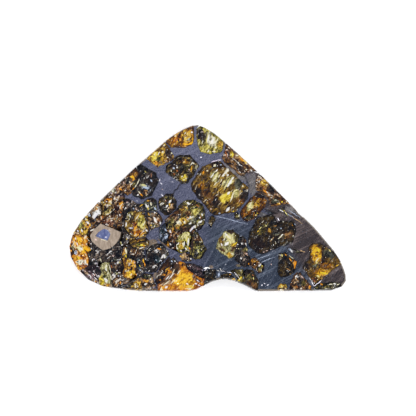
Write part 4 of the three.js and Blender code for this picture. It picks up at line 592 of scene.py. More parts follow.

# painted glints (the white, cream, silver and sky marks), dark lines and coloured spots across the stones:
# (tint, from x, y, to x, y, half width)
stonePaintedGlintsAndMarks = [
    # apex
    ("rust", -6.9, 13.4, -6.4, 14.0, 0.30), ("ink", -5.8, 15.2, -6.2, 14.0, 0.18),
    ("ink", -6.2, 14.0, -6.0, 13.0, 0.18), ("sun", -5.2, 12.9, -4.2, 12.7, 0.22),
    ("sun", -4.2, 12.7, -3.3, 13.2, 0.22), ("sun", -3.3, 13.2, -2.9, 14.1, 0.18),
    ("white", -3.6, 15.2, -3.3, 15.2, 0.25), ("cream", -6.9, 14.4, -6.6, 14.5, 0.20),
    ("bark", -7.5, 12.4, -5.5, 12.2, 0.18), ("cream", -4.9, 14.8, -4.6, 15.3, 0.12),
    ("pink", -1.3, 15.3, -1.1, 15.3, 0.15), ("white", -0.3, 13.3, 0.0, 14.5, 0.20),
    ("white", 0.5, 12.9, 0.9, 13.9, 0.18), ("white", 1.2, 12.0, 1.4, 12.1, 0.20),
    ("moss", 1.8, 11.4, 2.3, 11.4, 0.25), ("cream", 0.7, 11.3, 1.3, 11.3, 0.20),
    ("moss", 0.2, 11.9, 0.4, 12.8, 0.15), ("cream", 1.4, 13.2, 1.8, 14.0, 0.15),
    # upper left edge and the round grain
    ("cream", -9.4, 11.1, -9.2, 11.4, 0.25), ("cream", -9.1, 12.5, -8.9, 12.7, 0.22),
    ("cream", -7.6, 10.9, -7.4, 11.1, 0.22), ("white", -10.2, 10.6, -9.9, 11.2, 0.13),
    ("bark", -9.1, 10.0, -8.9, 11.0, 0.15), ("bark", -8.1, 11.6, -7.8, 10.2, 0.18),
    ("amber", -3.5, 8.3, -3.6, 7.2, 0.20), ("white", -6.5, 8.1, -6.3, 8.1, 0.20),
    ("pink", -4.1, 7.6, -3.9, 7.6, 0.20), ("cream", -3.2, 8.9, -3.0, 8.9, 0.22),
    ("greyGreen", -2.8, 7.9, -2.3, 8.5, 0.28), ("white", -5.5, 6.3, -5.3, 6.3, 0.20),
    ("cream", -4.7, 5.9, -4.5, 5.9, 0.20), ("cream", -5.1, 5.6, -4.9, 5.6, 0.20),
    ("rust", -6.5, 7.5, -6.3, 7.3, 0.25), ("white", -2.4, 6.8, -2.2, 6.8, 0.18),
    ("ink", -6.0, 10.4, -3.8, 10.4, 0.22), ("sky", -7.2, 8.1, -6.9, 7.8, 0.18),
    ("cream", -7.6, 7.6, -7.5, 7.2, 0.12), ("rust", -7.1, 6.9, -6.9, 6.6, 0.15),
    # the largest grain
    ("cream", 1.0, 8.4, 1.3, 8.6, 0.35), ("sky", 2.3, 8.6, 2.5, 8.6, 0.18),
    ("orange", -1.0, 7.4, -1.2, 6.8, 0.20), ("cream", -0.4, 7.4, -0.2, 7.4, 0.20),
    ("bark", 0.0, 5.2, 0.9, 6.4, 0.10), ("white", 0.3, 6.0, 1.0, 6.9, 0.14),
    ("white", 1.3, 7.2, 1.7, 7.7, 0.15), ("cream", 0.7, 5.3, 1.5, 6.3, 0.13),
    ("cream", 1.0, 4.4, 1.6, 5.2, 0.13), ("bark", 1.5, 5.4, 2.4, 6.3, 0.10),
    ("cream", 1.9, 6.0, 2.3, 6.7, 0.13), ("white", 2.6, 6.2, 3.1, 6.8, 0.15),
    ("white", 3.6, 6.3, 3.9, 6.7, 0.16), ("bark", 3.0, 4.1, 3.5, 5.0, 0.12),
    ("white", 3.7, 4.2, 4.1, 4.8, 0.22), ("white", 4.1, 4.8, 4.5, 5.6, 0.26),
    ("white", 4.5, 5.6, 5.0, 6.1, 0.20), ("bark", 2.4, 4.9, 2.6, 5.1, 0.25),
    ("gold", 1.6, 3.0, 2.8, 4.0, 0.12), ("white", 3.7, 2.7, 4.1, 3.1, 0.28),
    ("cream", 4.3, 1.3, 4.9, 3.0, 0.20), ("cream", 6.7, 4.2, 6.9, 4.4, 0.20),
    ("white", 3.5, -0.7, 4.1, 0.0, 0.32), ("sky", 2.0, -1.2, 2.2, -1.1, 0.20),
    ("pink", 0.2, -0.3, 0.6, -0.3, 0.15), ("yellow", 4.8, -0.8, 5.0, -0.8, 0.20),
    ("greyGreen", 5.6, -0.5, 5.8, -0.4, 0.20), ("bark", -0.9, 5.6, -0.3, 6.4, 0.15),
    ("bark", 5.0, 4.3, 5.3, 5.6, 0.12), ("bark", 1.2, 0.6, 2.2, 1.6, 0.15),
    ("cream", 1.3, -1.9, 1.4, -2.8, 0.15),
    # the right edge
    ("cream", 5.4, 10.6, 5.8, 10.5, 0.22), ("cream", 7.4, 7.7, 7.6, 7.7, 0.22),
    ("pink", 7.8, 7.2, 8.0, 7.2, 0.20), ("white", 8.4, 7.6, 8.7, 7.2, 0.16),
    ("white", 9.1, 6.9, 9.3, 6.7, 0.16), ("bark", 4.8, 9.6, 5.6, 9.0, 0.20),
    ("orange", 6.2, 10.0, 7.0, 9.3, 0.18), ("pale", 4.3, 10.5, 4.6, 10.8, 0.15),
    ("ink", 5.6, 8.3, 6.4, 7.7, 0.18), ("rust", 3.3, 11.2, 3.6, 10.4, 0.16),
    ("rust", 10.9, 4.1, 11.1, 4.1, 0.20), ("orange", 10.9, 3.6, 11.6, 2.9, 0.20),
    ("yellow", 14.5, 1.2, 14.7, 1.1, 0.22), ("cream", 15.4, 1.2, 15.6, 1.1, 0.20),
    ("cream", 11.4, 6.0, 11.5, 5.7, 0.14), ("pink", 13.6, 2.7, 13.9, 2.5, 0.14),
    ("orange", 15.8, 0.9, 16.2, 0.7, 0.15), ("ink", 12.0, 4.7, 12.8, 3.6, 0.18),
    # the oval
    ("rust", 6.9, -1.2, 7.1, -1.2, 0.22), ("yellow", 9.3, -1.5, 9.5, -1.5, 0.20),
    ("yellow", 9.6, -1.2, 9.7, -1.1, 0.14), ("bark", 7.2, -0.4, 7.8, -1.3, 0.14),
    ("cream", 8.2, 0.6, 8.5, 1.1, 0.14), ("bark", 9.0, 0.3, 8.8, -0.9, 0.12),
    ("cream", 5.9, -1.8, 6.1, -1.5, 0.20),
    # the shoulder
    ("celery", -13.5, 4.6, -12.6, 4.3, 0.32), ("sky", -13.1, 4.1, -12.1, 3.9, 0.30),
    ("sky", -11.7, 5.6, -11.4, 5.2, 0.18), ("orange", -13.9, 3.0, -13.3, 2.3, 0.18),
    ("cream", -14.1, 3.3, -13.7, 2.8, 0.12), ("cream", -14.0, 5.6, -14.5, 4.6, 0.12),
    ("cream", -14.5, 4.6, -14.9, 4.0, 0.12), ("tan", -12.7, 3.1, -12.5, 2.6, 0.20),
    ("redBrown", -11.6, 6.9, -11.6, 6.1, 0.14), ("olive", -12.9, 7.4, -12.6, 7.0, 0.15),
    ("greyGreen", -12.6, 2.5, -12.4, 2.4, 0.18), ("brown", -13.0, 3.5, -12.3, 3.3, 0.16),
    ("sun", -15.4, 6.4, -15.0, 5.9, 0.30), ("orange", -15.2, 5.6, -15.3, 5.4, 0.20),
    ("cream", -16.0, 5.2, -15.8, 5.0, 0.14), ("orange", -15.3, 3.7, -15.0, 3.9, 0.18),
    ("rust", -15.8, 2.9, -15.5, 2.6, 0.14), ("pink", -17.2, 5.2, -17.0, 4.8, 0.14),
    ("orange", -17.8, 3.9, -17.5, 3.5, 0.18), ("cream", -17.7, 4.2, -17.6, 3.9, 0.08),
    ("ink", -18.3, 2.5, -16.6, 2.5, 0.16), ("lilac", -19.7, 3.0, -19.4, 2.8, 0.16),
    # the small dark grain
    ("white", -7.6, 1.5, -8.0, 1.0, 0.26), ("gold", -7.9, 0.9, -7.9, 0.4, 0.20),
    ("white", -8.2, 0.5, -8.6, 0.0, 0.20), ("cream", -8.4, -0.4, -8.2, -0.5, 0.14),
    ("rust", -8.7, 1.5, -8.6, 1.2, 0.18), ("cream", -7.1, 2.0, -6.9, 1.9, 0.18),
    ("tan", -7.5, 0.4, -7.3, 0.0, 0.20), ("pink", -8.2, -0.7, -8.0, -0.8, 0.13),
    ("ink", -7.4, 1.3, -6.9, 1.0, 0.18), ("ink", -7.9, -0.2, -7.5, -0.6, 0.14),
    # the diagonal grains
    ("white", -4.4, 1.0, -3.9, 0.7, 0.25), ("white", -2.5, 1.3, -2.3, 1.2, 0.18),
    ("bark", -5.2, 0.4, -3.8, 0.5, 0.13), ("bark", -3.8, 0.5, -2.5, 0.6, 0.13),
    ("rust", -2.5, 0.6, -2.0, 0.1, 0.12), ("gold", -4.7, 0.1, -4.3, -0.1, 0.28),
    ("white", -3.8, -1.8, -3.6, -2.0, 0.20), ("yellow", -3.7, -2.3, -3.5, -2.2, 0.14),
    ("orange", -4.3, -1.9, -4.1, -2.1, 0.15), ("white", -1.4, -1.2, -1.3, -1.7, 0.18),
    ("white", -2.0, -2.1, -1.6, -1.9, 0.16), ("white", -1.9, -3.1, -1.4, -2.6, 0.20),
    ("white", -1.0, -2.4, -0.8, -2.6, 0.20), ("white", -4.0, -3.3, -3.5, -3.1, 0.18),
    ("pink", -4.4, -2.4, -4.2, -2.5, 0.20), ("green", -2.4, -2.7, -2.2, -2.9, 0.14),
    ("rust", -1.7, -1.7, -1.6, -2.3, 0.10), ("rust", -6.5, -4.0, -6.4, -4.3, 0.18),
    ("silver", -2.8, -3.6, -3.9, -4.9, 0.22), ("white", -2.6, -4.4, -2.4, -4.8, 0.16),
    ("white", -4.1, -6.2, -4.2, -7.6, 0.20), ("white", -4.9, -6.9, -5.0, -7.9, 0.15),
    ("ink", -4.6, -6.6, -4.7, -7.8, 0.11), ("ink", -3.8, -6.9, -3.8, -7.6, 0.12),
    ("white", -4.7, -8.1, -4.5, -8.5, 0.20), ("ink", -5.1, -8.4, -4.9, -8.9, 0.18),
    ("white", -5.7, -8.6, -5.4, -8.8, 0.15), ("cream", -4.2, -8.5, -4.0, -8.8, 0.18),
    ("orange", -3.9, -8.0, -3.8, -8.4, 0.18), ("white", -1.1, -7.3, -0.5, -7.9, 0.15),
    ("ink", -1.2, -7.7, -0.8, -8.3, 0.12), ("cream", -1.6, -8.3, -1.4, -8.5, 0.12),
    ("cream", -1.9, -6.8, -1.7, -7.0, 0.12), ("pale", -2.3, -8.7, -2.0, -9.0, 0.18),
    ("tan", -1.7, -6.0, -1.3, -6.8, 0.14), ("bark", -3.4, -6.8, -3.3, -8.2, 0.18),
    ("white", -7.8, -7.2, -7.6, -7.5, 0.15), ("orange", -8.2, -7.3, -8.1, -7.6, 0.15),
    ("ink", -7.3, -7.0, -7.0, -7.8, 0.18), ("tan", -6.4, -1.8, -6.9, -2.5, 0.14),
    ("redBrown", -7.6, -5.2, -7.6, -5.8, 0.18), ("cream", -5.3, -9.5, -5.1, -9.6, 0.12),
    ("white", -3.7, -10.2, -3.4, -10.4, 0.20), ("cream", -4.3, -10.6, -3.7, -10.9, 0.12),
    # grey grains left of the diagonal
    ("silver", -9.0, -3.0, -8.7, -3.4, 0.18), ("sky", -8.8, -4.3, -8.5, -4.7, 0.18),
    ("silver", -7.9, -4.6, -7.6, -5.0, 0.18), ("sky", -8.8, -6.2, -8.0, -5.4, 0.25),
    ("ink", -9.3, -5.2, -9.0, -5.8, 0.18), ("white", -11.0, -0.9, -10.7, -1.1, 0.18),
    ("white", -11.0, -2.0, -10.5, -3.0, 0.28), ("rust", -10.3, -2.2, -9.8, -2.9, 0.11),
    ("white", -9.8, -2.9, -9.6, -3.4, 0.18), ("ink", -10.6, -1.3, -9.9, -2.1, 0.18),
    ("yellow", -11.7, -3.6, -11.5, -3.6, 0.12), ("amber", -12.2, -1.1, -11.9, -1.6, 0.18),
    ("ink", -11.5, -2.4, -11.3, -3.0, 0.18), ("white", -12.7, 0.7, -12.3, 0.0, 0.18),
    ("yellow", -12.3, 0.2, -12.1, -0.5, 0.12), ("gold", -13.8, 0.2, -13.2, 0.7, 0.16),
    ("cream", -11.7, 1.0, -11.5, 0.4, 0.20), ("sky", -11.0, 0.0, -10.6, -0.5, 0.20),
    ("ink", -13.3, 0.2, -12.9, 0.5, 0.16), ("ink", -11.2, 0.9, -10.8, 0.3, 0.18),
    ("amber", -12.4, 1.3, -12.0, 1.4, 0.18),
    # the pale grain and the chain below it
    ("white", 3.3, -5.2, 3.5, -5.6, 0.20), ("white", 3.2, -7.6, 3.8, -7.0, 0.36),
    ("white", 2.4, -7.2, 2.6, -7.7, 0.18), ("bark", 2.7, -6.1, 2.7, -7.0, 0.14),
    ("yellow", 4.7, -7.6, 5.5, -7.0, 0.18), ("bark", 4.4, -8.6, 5.2, -7.9, 0.10),
    ("bark", 4.2, -8.9, 4.9, -8.4, 0.10), ("cream", 4.3, -9.2, 5.0, -9.3, 0.12),
    ("bark", 3.4, -8.0, 3.8, -8.6, 0.12), ("cream", 3.6, -5.4, 4.1, -6.2, 0.28),
    ("bark", 2.0, -8.0, 2.3, -8.5, 0.13), ("bark", 4.0, -5.0, 5.2, -5.0, 0.15),
    ("cream", 6.1, -6.0, 6.5, -5.7, 0.14), ("tan", 7.3, -6.5, 7.7, -7.2, 0.12),
    ("pale", 7.5, -8.3, 7.6, -8.7, 0.18), ("pink", 7.3, -9.3, 7.7, -9.2, 0.20),
    ("brown", 7.5, -9.5, 8.2, -9.7, 0.18), ("white", 6.3, -10.1, 6.5, -10.3, 0.22),
    ("smoke", 6.8, -10.7, 7.2, -10.2, 0.22), ("orange", 7.9, -11.2, 8.0, -11.4, 0.20),
    ("celery", 5.8, -8.2, 6.0, -8.3, 0.12), ("white", 9.9, -11.8, 10.4, -11.3, 0.20),
    ("lemon", 10.5, -11.6, 10.7, -11.8, 0.18), ("pale", 11.0, -11.9, 11.1, -12.1, 0.12),
    ("ink", 9.4, -11.9, 9.8, -12.4, 0.18),
    # the large dark grain
    ("pale", 10.0, -4.4, 10.5, -3.9, 0.12), ("pale", 11.3, -3.5, 11.5, -3.8, 0.12),
    ("gold", 9.6, -4.9, 10.0, -4.6, 0.18), ("honey", 12.0, -4.2, 12.2, -4.9, 0.25),
    ("brown", 13.0, -3.8, 13.5, -3.6, 0.15), ("cream", 13.8, -6.3, 14.8, -5.4, 0.14),
    ("white", 14.4, -5.7, 14.7, -5.4, 0.12), ("tan", 12.2, -6.8, 12.9, -6.0, 0.13),
    ("cream", 12.4, -6.5, 12.6, -6.3, 0.10), ("cream", 13.3, -7.0, 13.3, -7.3, 0.10),
    ("sky", 17.1, -3.0, 17.3, -3.5, 0.15), ("cream", 16.7, -5.7, 16.9, -5.7, 0.12),
    ("sky", 14.3, -4.1, 14.4, -4.3, 0.14), ("brown", 15.1, -6.2, 15.3, -6.1, 0.12),
    ("orange", 16.6, -3.5, 16.7, -3.6, 0.11), ("pink", 11.4, -8.7, 11.7, -8.6, 0.12),
    ("pink", 12.1, -8.4, 12.3, -8.4, 0.11), ("sky", 13.7, -2.1, 14.0, -2.6, 0.14),
    ("pink", 10.8, -9.0, 11.1, -8.9, 0.12),
    # the right corner
    ("orange", 17.0, -10.8, 17.3, -11.9, 0.34), ("orange", 16.0, -10.1, 16.5, -10.8, 0.13),
    ("cream", 15.9, -9.6, 17.5, -10.7, 0.08), ("pale", 14.5, -9.4, 14.6, -9.8, 0.20),
    ("orange", 15.2, -9.4, 15.4, -9.6, 0.18), ("ink", 15.0, -9.5, 14.9, -10.1, 0.12),
    ("gold", 16.1, -13.3, 16.4, -13.4, 0.16), ("brown", 15.5, -12.2, 16.2, -12.6, 0.14),
    ("yellow", 21.7, -8.2, 21.9, -8.9, 0.28), ("yellow", 20.9, -9.2, 21.1, -9.5, 0.22),
    ("cream", 21.2, -10.9, 21.9, -10.1, 0.11), ("pale", 21.4, -11.2, 21.5, -10.8, 0.18),
    ("yellow", 22.2, -13.0, 23.7, -13.3, 0.24), ("pale", 21.5, -13.6, 21.9, -13.9, 0.28),
    ("rust", 20.8, -14.6, 21.1, -14.9, 0.14), ("rust", 20.6, -14.1, 20.7, -14.3, 0.12),
    ("pale", 23.9, -8.4, 24.2, -8.8, 0.18), ("tan", 24.3, -11.7, 24.7, -12.0, 0.18),
    ("gold", 25.3, -11.7, 25.8, -11.5, 0.14), ("rust", 22.1, -10.3, 22.3, -10.6, 0.14),
    ("cream", 26.1, -11.0, 26.4, -11.2, 0.12), ("white", 17.2, -14.0, 17.6, -13.5, 0.15),
    ("white", 17.6, -14.0, 17.8, -13.8, 0.13), ("pink", 18.3, -13.6, 18.8, -14.2, 0.12),
    ("rust", 17.3, -15.7, 17.6, -15.9, 0.16), ("orange", 19.8, -15.8, 20.3, -15.7, 0.24),
    ("cream", 23.9, -15.4, 24.5, -15.3, 0.14), ("white", 24.8, -15.2, 25.2, -15.3, 0.18),
    ("cream", 25.4, -15.5, 25.9, -15.3, 0.14), ("white", 26.2, -15.1, 26.4, -15.3, 0.14),
    ("orange", 22.1, -15.2, 22.5, -15.4, 0.18), ("white", 24.9, -15.6, 25.1, -15.7, 0.10),
    ("pale", 14.4, -15.6, 14.6, -16.1, 0.20), ("bark", 14.9, -15.9, 15.0, -16.3, 0.12),
    ("yellow", 15.3, -15.4, 15.5, -15.7, 0.14), ("cream", 15.2, -16.1, 15.4, -16.3, 0.10),
    # round the notch
    ("pale", 8.8, -14.0, 8.9, -14.4, 0.14), ("rust", 8.7, -13.4, 8.9, -13.7, 0.12),
    ("silver", 5.0, -12.9, 5.9, -14.0, 0.09), ("yellow", 5.8, -14.6, 6.5, -14.0, 0.24),
    ("white", 6.0, -14.3, 6.2, -14.2, 0.12), ("sky", 6.9, -13.8, 6.9, -14.3, 0.12),
    ("amber", 4.0, -13.4, 4.4, -13.3, 0.12), ("gold", 4.6, -14.3, 5.3, -14.2, 0.15),
    # the lower edge
    ("ink", -5.3, -11.2, -5.3, -11.9, 0.16), ("cream", -4.6, -11.0, -4.4, -11.1, 0.12),
    ("white", -7.2, -11.4, -7.6, -12.2, 0.13), ("cream", -6.9, -12.4, -7.3, -13.3, 0.12),
    ("cream", -5.7, -12.5, -6.3, -13.3, 0.13), ("white", -8.6, -14.4, -7.9, -13.7, 0.13),
    ("redBrown", -9.0, -14.3, -8.2, -13.6, 0.10), ("white", -8.0, -14.3, -6.9, -13.1, 0.12),
    ("cream", -9.1, -15.6, -7.9, -14.6, 0.11), ("cream", -7.6, -15.2, -6.7, -14.2, 0.10),
    ("white", -8.7, -16.1, -8.3, -15.8, 0.28), ("white", -4.5, -15.2, -4.1, -15.3, 0.16),
    ("white", -2.8, -15.2, -2.4, -15.3, 0.20), ("silver", -2.4, -14.5, -2.0, -14.8, 0.16),
    ("cream", -4.2, -16.3, -3.5, -16.2, 0.20), ("brown", -5.1, -15.3, -5.1, -15.9, 0.10),
    ("rust", -3.2, -14.2, -2.6, -14.8, 0.14), ("rust", -1.1, -14.3, -0.9, -14.5, 0.15),
    ("silver", -2.2, -15.5, -1.8, -15.6, 0.12), ("cream", -3.2, -15.7, -2.9, -15.4, 0.10),
    ("pink", -2.7, -13.3, -2.5, -13.3, 0.11), ("lilac", -1.4, -12.4, -1.3, -12.7, 0.10),
    ("tan", -4.0, -11.7, -3.8, -11.5, 0.11), ("redBrown", -3.0, -13.6, -2.6, -13.7, 0.13),
    ("sky", -7.5, -10.6, -7.3, -10.9, 0.16), ("white", -6.9, -10.7, -6.7, -10.9, 0.14),
    ("ink", -7.1, -10.5, -7.1, -11.1, 0.10), ("pink", -6.5, -11.1, -6.3, -11.3, 0.13),
    ("orange", -9.0, -13.5, -8.7, -13.5, 0.22), ("orange", -8.1, -12.7, -7.9, -12.5, 0.20),
    ("orange", -9.8, -14.5, -9.6, -14.5, 0.16),
    # the lower left
    ("orange", -10.3, -8.2, -9.6, -8.4, 0.18), ("cream", -9.7, -7.8, -9.6, -8.0, 0.10),
    ("cream", -12.0, -8.5, -11.8, -8.6, 0.12), ("pale", -8.6, -10.2, -8.5, -10.0, 0.12),
    ("sky", -9.4, -11.2, -8.8, -10.9, 0.13), ("sky", -10.6, -10.4, -10.4, -10.6, 0.12),
    ("silver", -9.7, -10.5, -9.5, -10.7, 0.14), ("pink", -10.2, -12.7, -10.0, -12.7, 0.13),
    ("sun", -13.1, -10.3, -13.0, -11.0, 0.16), ("orange", -12.9, -11.0, -12.7, -11.8, 0.16),
    ("yellow", -13.8, -11.5, -13.7, -11.9, 0.12), ("sky", -13.8, -12.4, -13.5, -12.6, 0.14),
    ("ink", -13.5, -10.9, -13.5, -11.9, 0.16), ("cream", -12.7, -10.2, -12.6, -10.5, 0.11),
    ("cream", -16.7, -8.2, -16.4, -9.2, 0.28), ("yellow", -16.6, -9.6, -16.5, -10.0, 0.18),
    ("pink", -15.0, -10.9, -14.8, -11.1, 0.16), ("cream", -15.0, -11.7, -14.8, -11.7, 0.12),
    ("bark", -15.8, -12.6, -15.1, -12.3, 0.14), ("cream", -16.7, -12.7, -16.4, -12.7, 0.16),
    ("cream", -15.6, -13.6, -15.3, -13.2, 0.16), ("orange", -14.7, -13.2, -14.5, -13.6, 0.16),
    ("white", -13.9, -8.3, -13.1, -8.0, 0.13), ("orange", -13.2, -7.5, -13.0, -7.8, 0.16),
    ("cream", -12.4, -6.8, -12.3, -7.2, 0.10), ("white", -12.9, -15.5, -12.4, -15.2, 0.20),
    ("pink", -12.1, -16.1, -11.9, -16.2, 0.14), ("cream", -12.0, -13.6, -11.7, -13.6, 0.10),
    ("rust", -13.4, -15.2, -13.3, -15.9, 0.12), ("cream", -14.8, -15.8, -14.5, -15.9, 0.18),
    ("white", -14.2, -15.6, -14.1, -15.9, 0.10), ("yellow", -14.3, -15.1, -14.0, -15.0, 0.16),
    ("orange", -17.6, -14.8, -17.6, -15.3, 0.20), ("tan", -18.7, -14.4, -18.2, -14.2, 0.12),
    ("celery", -18.5, -13.5, -18.2, -13.1, 0.12), ("sky", -18.1, -13.6, -18.0, -13.8, 0.12),
    ("cream", -19.9, -11.4, -19.6, -12.8, 0.12), ("cream", -19.6, -12.9, -19.5, -14.6, 0.14),
    ("rust", -19.5, -11.5, -19.3, -12.2, 0.11), ("ink", -19.3, -12.2, -19.2, -12.9, 0.14),
    ("white", -20.8, -14.2, -20.2, -14.6, 0.26), ("orange", -19.8, -15.5, -19.6, -15.7, 0.18),
    ("rust", -20.6, -15.1, -20.4, -15.4, 0.12), ("bark", -21.4, -13.9, -21.3, -14.2, 0.12),
    ("cream", -21.7, -10.1, -21.4, -10.8, 0.10), ("lilac", -22.9, -10.3, -22.7, -10.5, 0.14),
    ("lilac", -22.6, -11.0, -22.2, -11.4, 0.12), ("silver", -22.4, -11.7, -22.1, -11.8, 0.14),
    ("rust", -22.8, -13.3, -22.6, -13.6, 0.12), ("lilac", -23.9, -12.8, -23.7, -12.9, 0.10),
    ("pink", -24.8, -12.6, -24.5, -12.9, 0.13), ("orange", -22.7, -14.8, -22.5, -14.9, 0.12),
    ("blueGrey", -18.8, -11.2, -18.5, -11.3, 0.14), ("silver", -18.4, -12.6, -18.2, -12.6, 0.10),
    ("green", -17.9, -10.9, -17.6, -11.1, 0.13), ("pink", -19.3, -9.6, -19.0, -9.9, 0.15),
    ("white", -19.7, -8.9, -19.4, -8.7, 0.12), ("pale", -17.6, -6.8, -17.5, -7.5, 0.12),
    # the left edge
    ("white", -22.4, -0.6, -21.8, -1.3, 0.40), ("silver", -23.0, -2.2, -22.2, -1.0, 0.22),
    ("sky", -23.9, -1.4, -23.7, -1.7, 0.18), ("bark", -24.0, -1.8, -23.2, -2.5, 0.10),
    ("cream", -24.7, -2.2, -24.5, -2.5, 0.18), ("white", -24.4, -2.9, -24.0, -3.3, 0.25),
    ("sun", -23.9, -3.4, -23.7, -3.6, 0.20), ("orange", -24.3, -3.9, -24.1, -4.0, 0.18),
    ("white", -25.5, -4.3, -25.3, -4.9, 0.18), ("silver", -26.3, -4.6, -26.1, -4.8, 0.20),
    ("cream", -24.6, -3.5, -24.6, -3.6, 0.14), ("ink", -23.9, -4.3, -23.7, -4.5, 0.16),
    ("sun", -25.9, -6.3, -25.5, -6.6, 0.36), ("cream", -24.3, -6.2, -23.9, -6.7, 0.11),
    ("white", -26.7, -6.0, -26.6, -6.4, 0.16), ("white", -26.4, -7.0, -26.2, -7.6, 0.14),
    ("cream", -25.3, -7.5, -25.1, -7.5, 0.14), ("white", -25.7, -8.1, -25.2, -8.5, 0.26),
    ("sun", -24.7, -8.2, -23.9, -8.5, 0.36), ("rust", -24.9, -7.3, -24.6, -7.6, 0.11),
    ("sky", -26.8, -8.8, -26.6, -9.3, 0.18), ("pink", -26.0, -9.6, -25.7, -9.7, 0.18),
    ("yellow", -26.1, -9.9, -26.0, -10.4, 0.18), ("white", -24.8, -11.0, -24.6, -10.3, 0.14),
    ("white", -24.4, -11.2, -24.2, -11.5, 0.16), ("redBrown", -25.1, -10.9, -25.3, -11.8, 0.12),
    ("redBrown", -24.6, -10.3, -24.4, -10.6, 0.10), ("cream", -26.0, -11.1, -25.6, -11.4, 0.22),
    ("brown", -25.1, -9.1, -24.6, -9.5, 0.12), ("orange", -25.5, -10.2, -25.2, -10.3, 0.18),
    ("rust", -23.9, -7.0, -23.8, -7.3, 0.12),
    # the upper left
    ("orange", -19.5, 1.8, -19.4, 1.3, 0.16), ("white", -20.6, 1.2, -20.4, 1.2, 0.13),
    ("pink", -20.7, 0.5, -20.5, 0.3, 0.14), ("cream", -21.2, 1.1, -21.0, 0.9, 0.12),
    ("orange", -20.4, 1.7, -20.1, 1.5, 0.14), ("cream", -22.5, 0.1, -22.2, -0.1, 0.18),
    ("ink", -19.1, 1.4, -19.1, 0.5, 0.15), ("ink", -20.9, 0.4, -20.8, 0.1, 0.10),
    ("orange", -17.6, 0.2, -17.5, -0.3, 0.15), ("rust", -17.7, -0.8, -17.6, -1.1, 0.14),
    ("white", -17.9, -1.3, -17.8, -1.7, 0.15), ("cream", -17.9, -2.5, -17.8, -2.6, 0.11),
    ("pink", -16.6, 1.0, -16.3, 1.1, 0.14), ("tan", -15.3, 1.4, -15.0, 1.2, 0.13),
    ("sky", -15.2, -0.1, -15.0, -0.3, 0.13), ("pink", -14.7, -0.2, -14.5, -0.4, 0.14),
    ("gold", -14.9, -0.7, -14.7, -0.9, 0.12), ("cream", -21.6, -1.8, -21.5, -2.4, 0.13),
    ("pink", -22.1, -2.7, -21.9, -2.9, 0.12), ("rust", -21.3, -1.6, -21.2, -2.3, 0.10),
    ("ink", -18.6, -3.8, -18.3, -3.9, 0.16), ("white", -20.4, -2.3, -20.3, -2.4, 0.10),
    ("redBrown", -19.8, -2.6, -19.6, -2.7, 0.11), ("greyGreen", -18.5, -2.0, -18.4, -2.4, 0.12),
    ("white", -16.5, -3.0, -16.6, -3.8, 0.18), ("silver", -16.0, -4.1, -15.2, -4.1, 0.16),
    ("pale", -15.4, -1.3, -15.2, -1.4, 0.13), ("white", -13.2, -4.7, -12.9, -4.8, 0.14),
    ("white", -12.6, -4.5, -12.3, -4.7, 0.25), ("white", -15.7, -5.2, -15.6, -5.3, 0.12),
    ("white", -13.2, -5.6, -13.0, -5.6, 0.13), ("rust", -15.6, -4.9, -15.4, -5.0, 0.10),
    ("cream", -12.8, -2.7, -12.8, -3.3, 0.10), ("moss", -14.0, -2.2, -14.1, -2.9, 0.10),
    ("yellow", -13.9, -1.8, -13.6, -1.7, 0.14), ("yellow", -16.5, -6.3, -16.4, -6.4, 0.15),
]


def makeCrystalMaterial(name, look, number):
    (tint, light, contrast, glintShare, size, turn, stretch), patches = look
    material, tree, surface, output = newMaterial(name + "Stone")
    place = placeInMm(tree)
    plates = placed(tree, plateGroup, {
        "Place": place, "Turn": math.radians(turn), "Stretch": stretch, "Size": size, "Seed": 3.7 * number,
    })
    patchPlace = vectors(tree, "MULTIPLY_ADD", plates["Drift"], stoneLook["patchDrift"], place)
    tint, light = addPatches(tree, linear(palette[tint]), light, patchPlace, patches, palette)
    stone = placed(tree, stoneGroup, {
        "Tint": tint, "Light": light, "Contrast": contrast, "GlintShare": glintShare,
        "Rim": put(tree, "Attribute", attribute_name="rim").outputs["Fac"],
        **{field: plates[field] for field in stoneFields},
    })
    flat = vectors(tree, "MULTIPLY", place, (1.0, 1.0, 0.0))
    flat = vectors(tree, "MULTIPLY_ADD", plates["Drift"], stoneLook["markDrift"], flat)
    # marks and painted glints over the stone's colour
    colour = addMarks(tree, stone["Colour"], flat, marksOn(name))[0]
    bump = put(tree, "Bump", {"Height": plates["Height"], "Distance": stoneLook["bump"], "Strength": 1.0})
    tree.links.new(colour, surface.inputs["Base Color"])
    tree.links.new(stone["Roughness"], surface.inputs["Roughness"])
    tree.links.new(bump.outputs[0], surface.inputs["Normal"])
    surface.inputs["IOR"].default_value = stoneLook["ior"]
    surface.inputs["Transmission Weight"].default_value = stoneLook["transmission"]
    absorption = {"Color": stoneClear[slotOf[name]], "Density": stoneLook["density"]}
    clear = put(tree, "VolumeAbsorption", absorption)
    tree.links.new(clear.outputs[0], output.inputs["Volume"])
    return material


# Shape of the dressed pieces

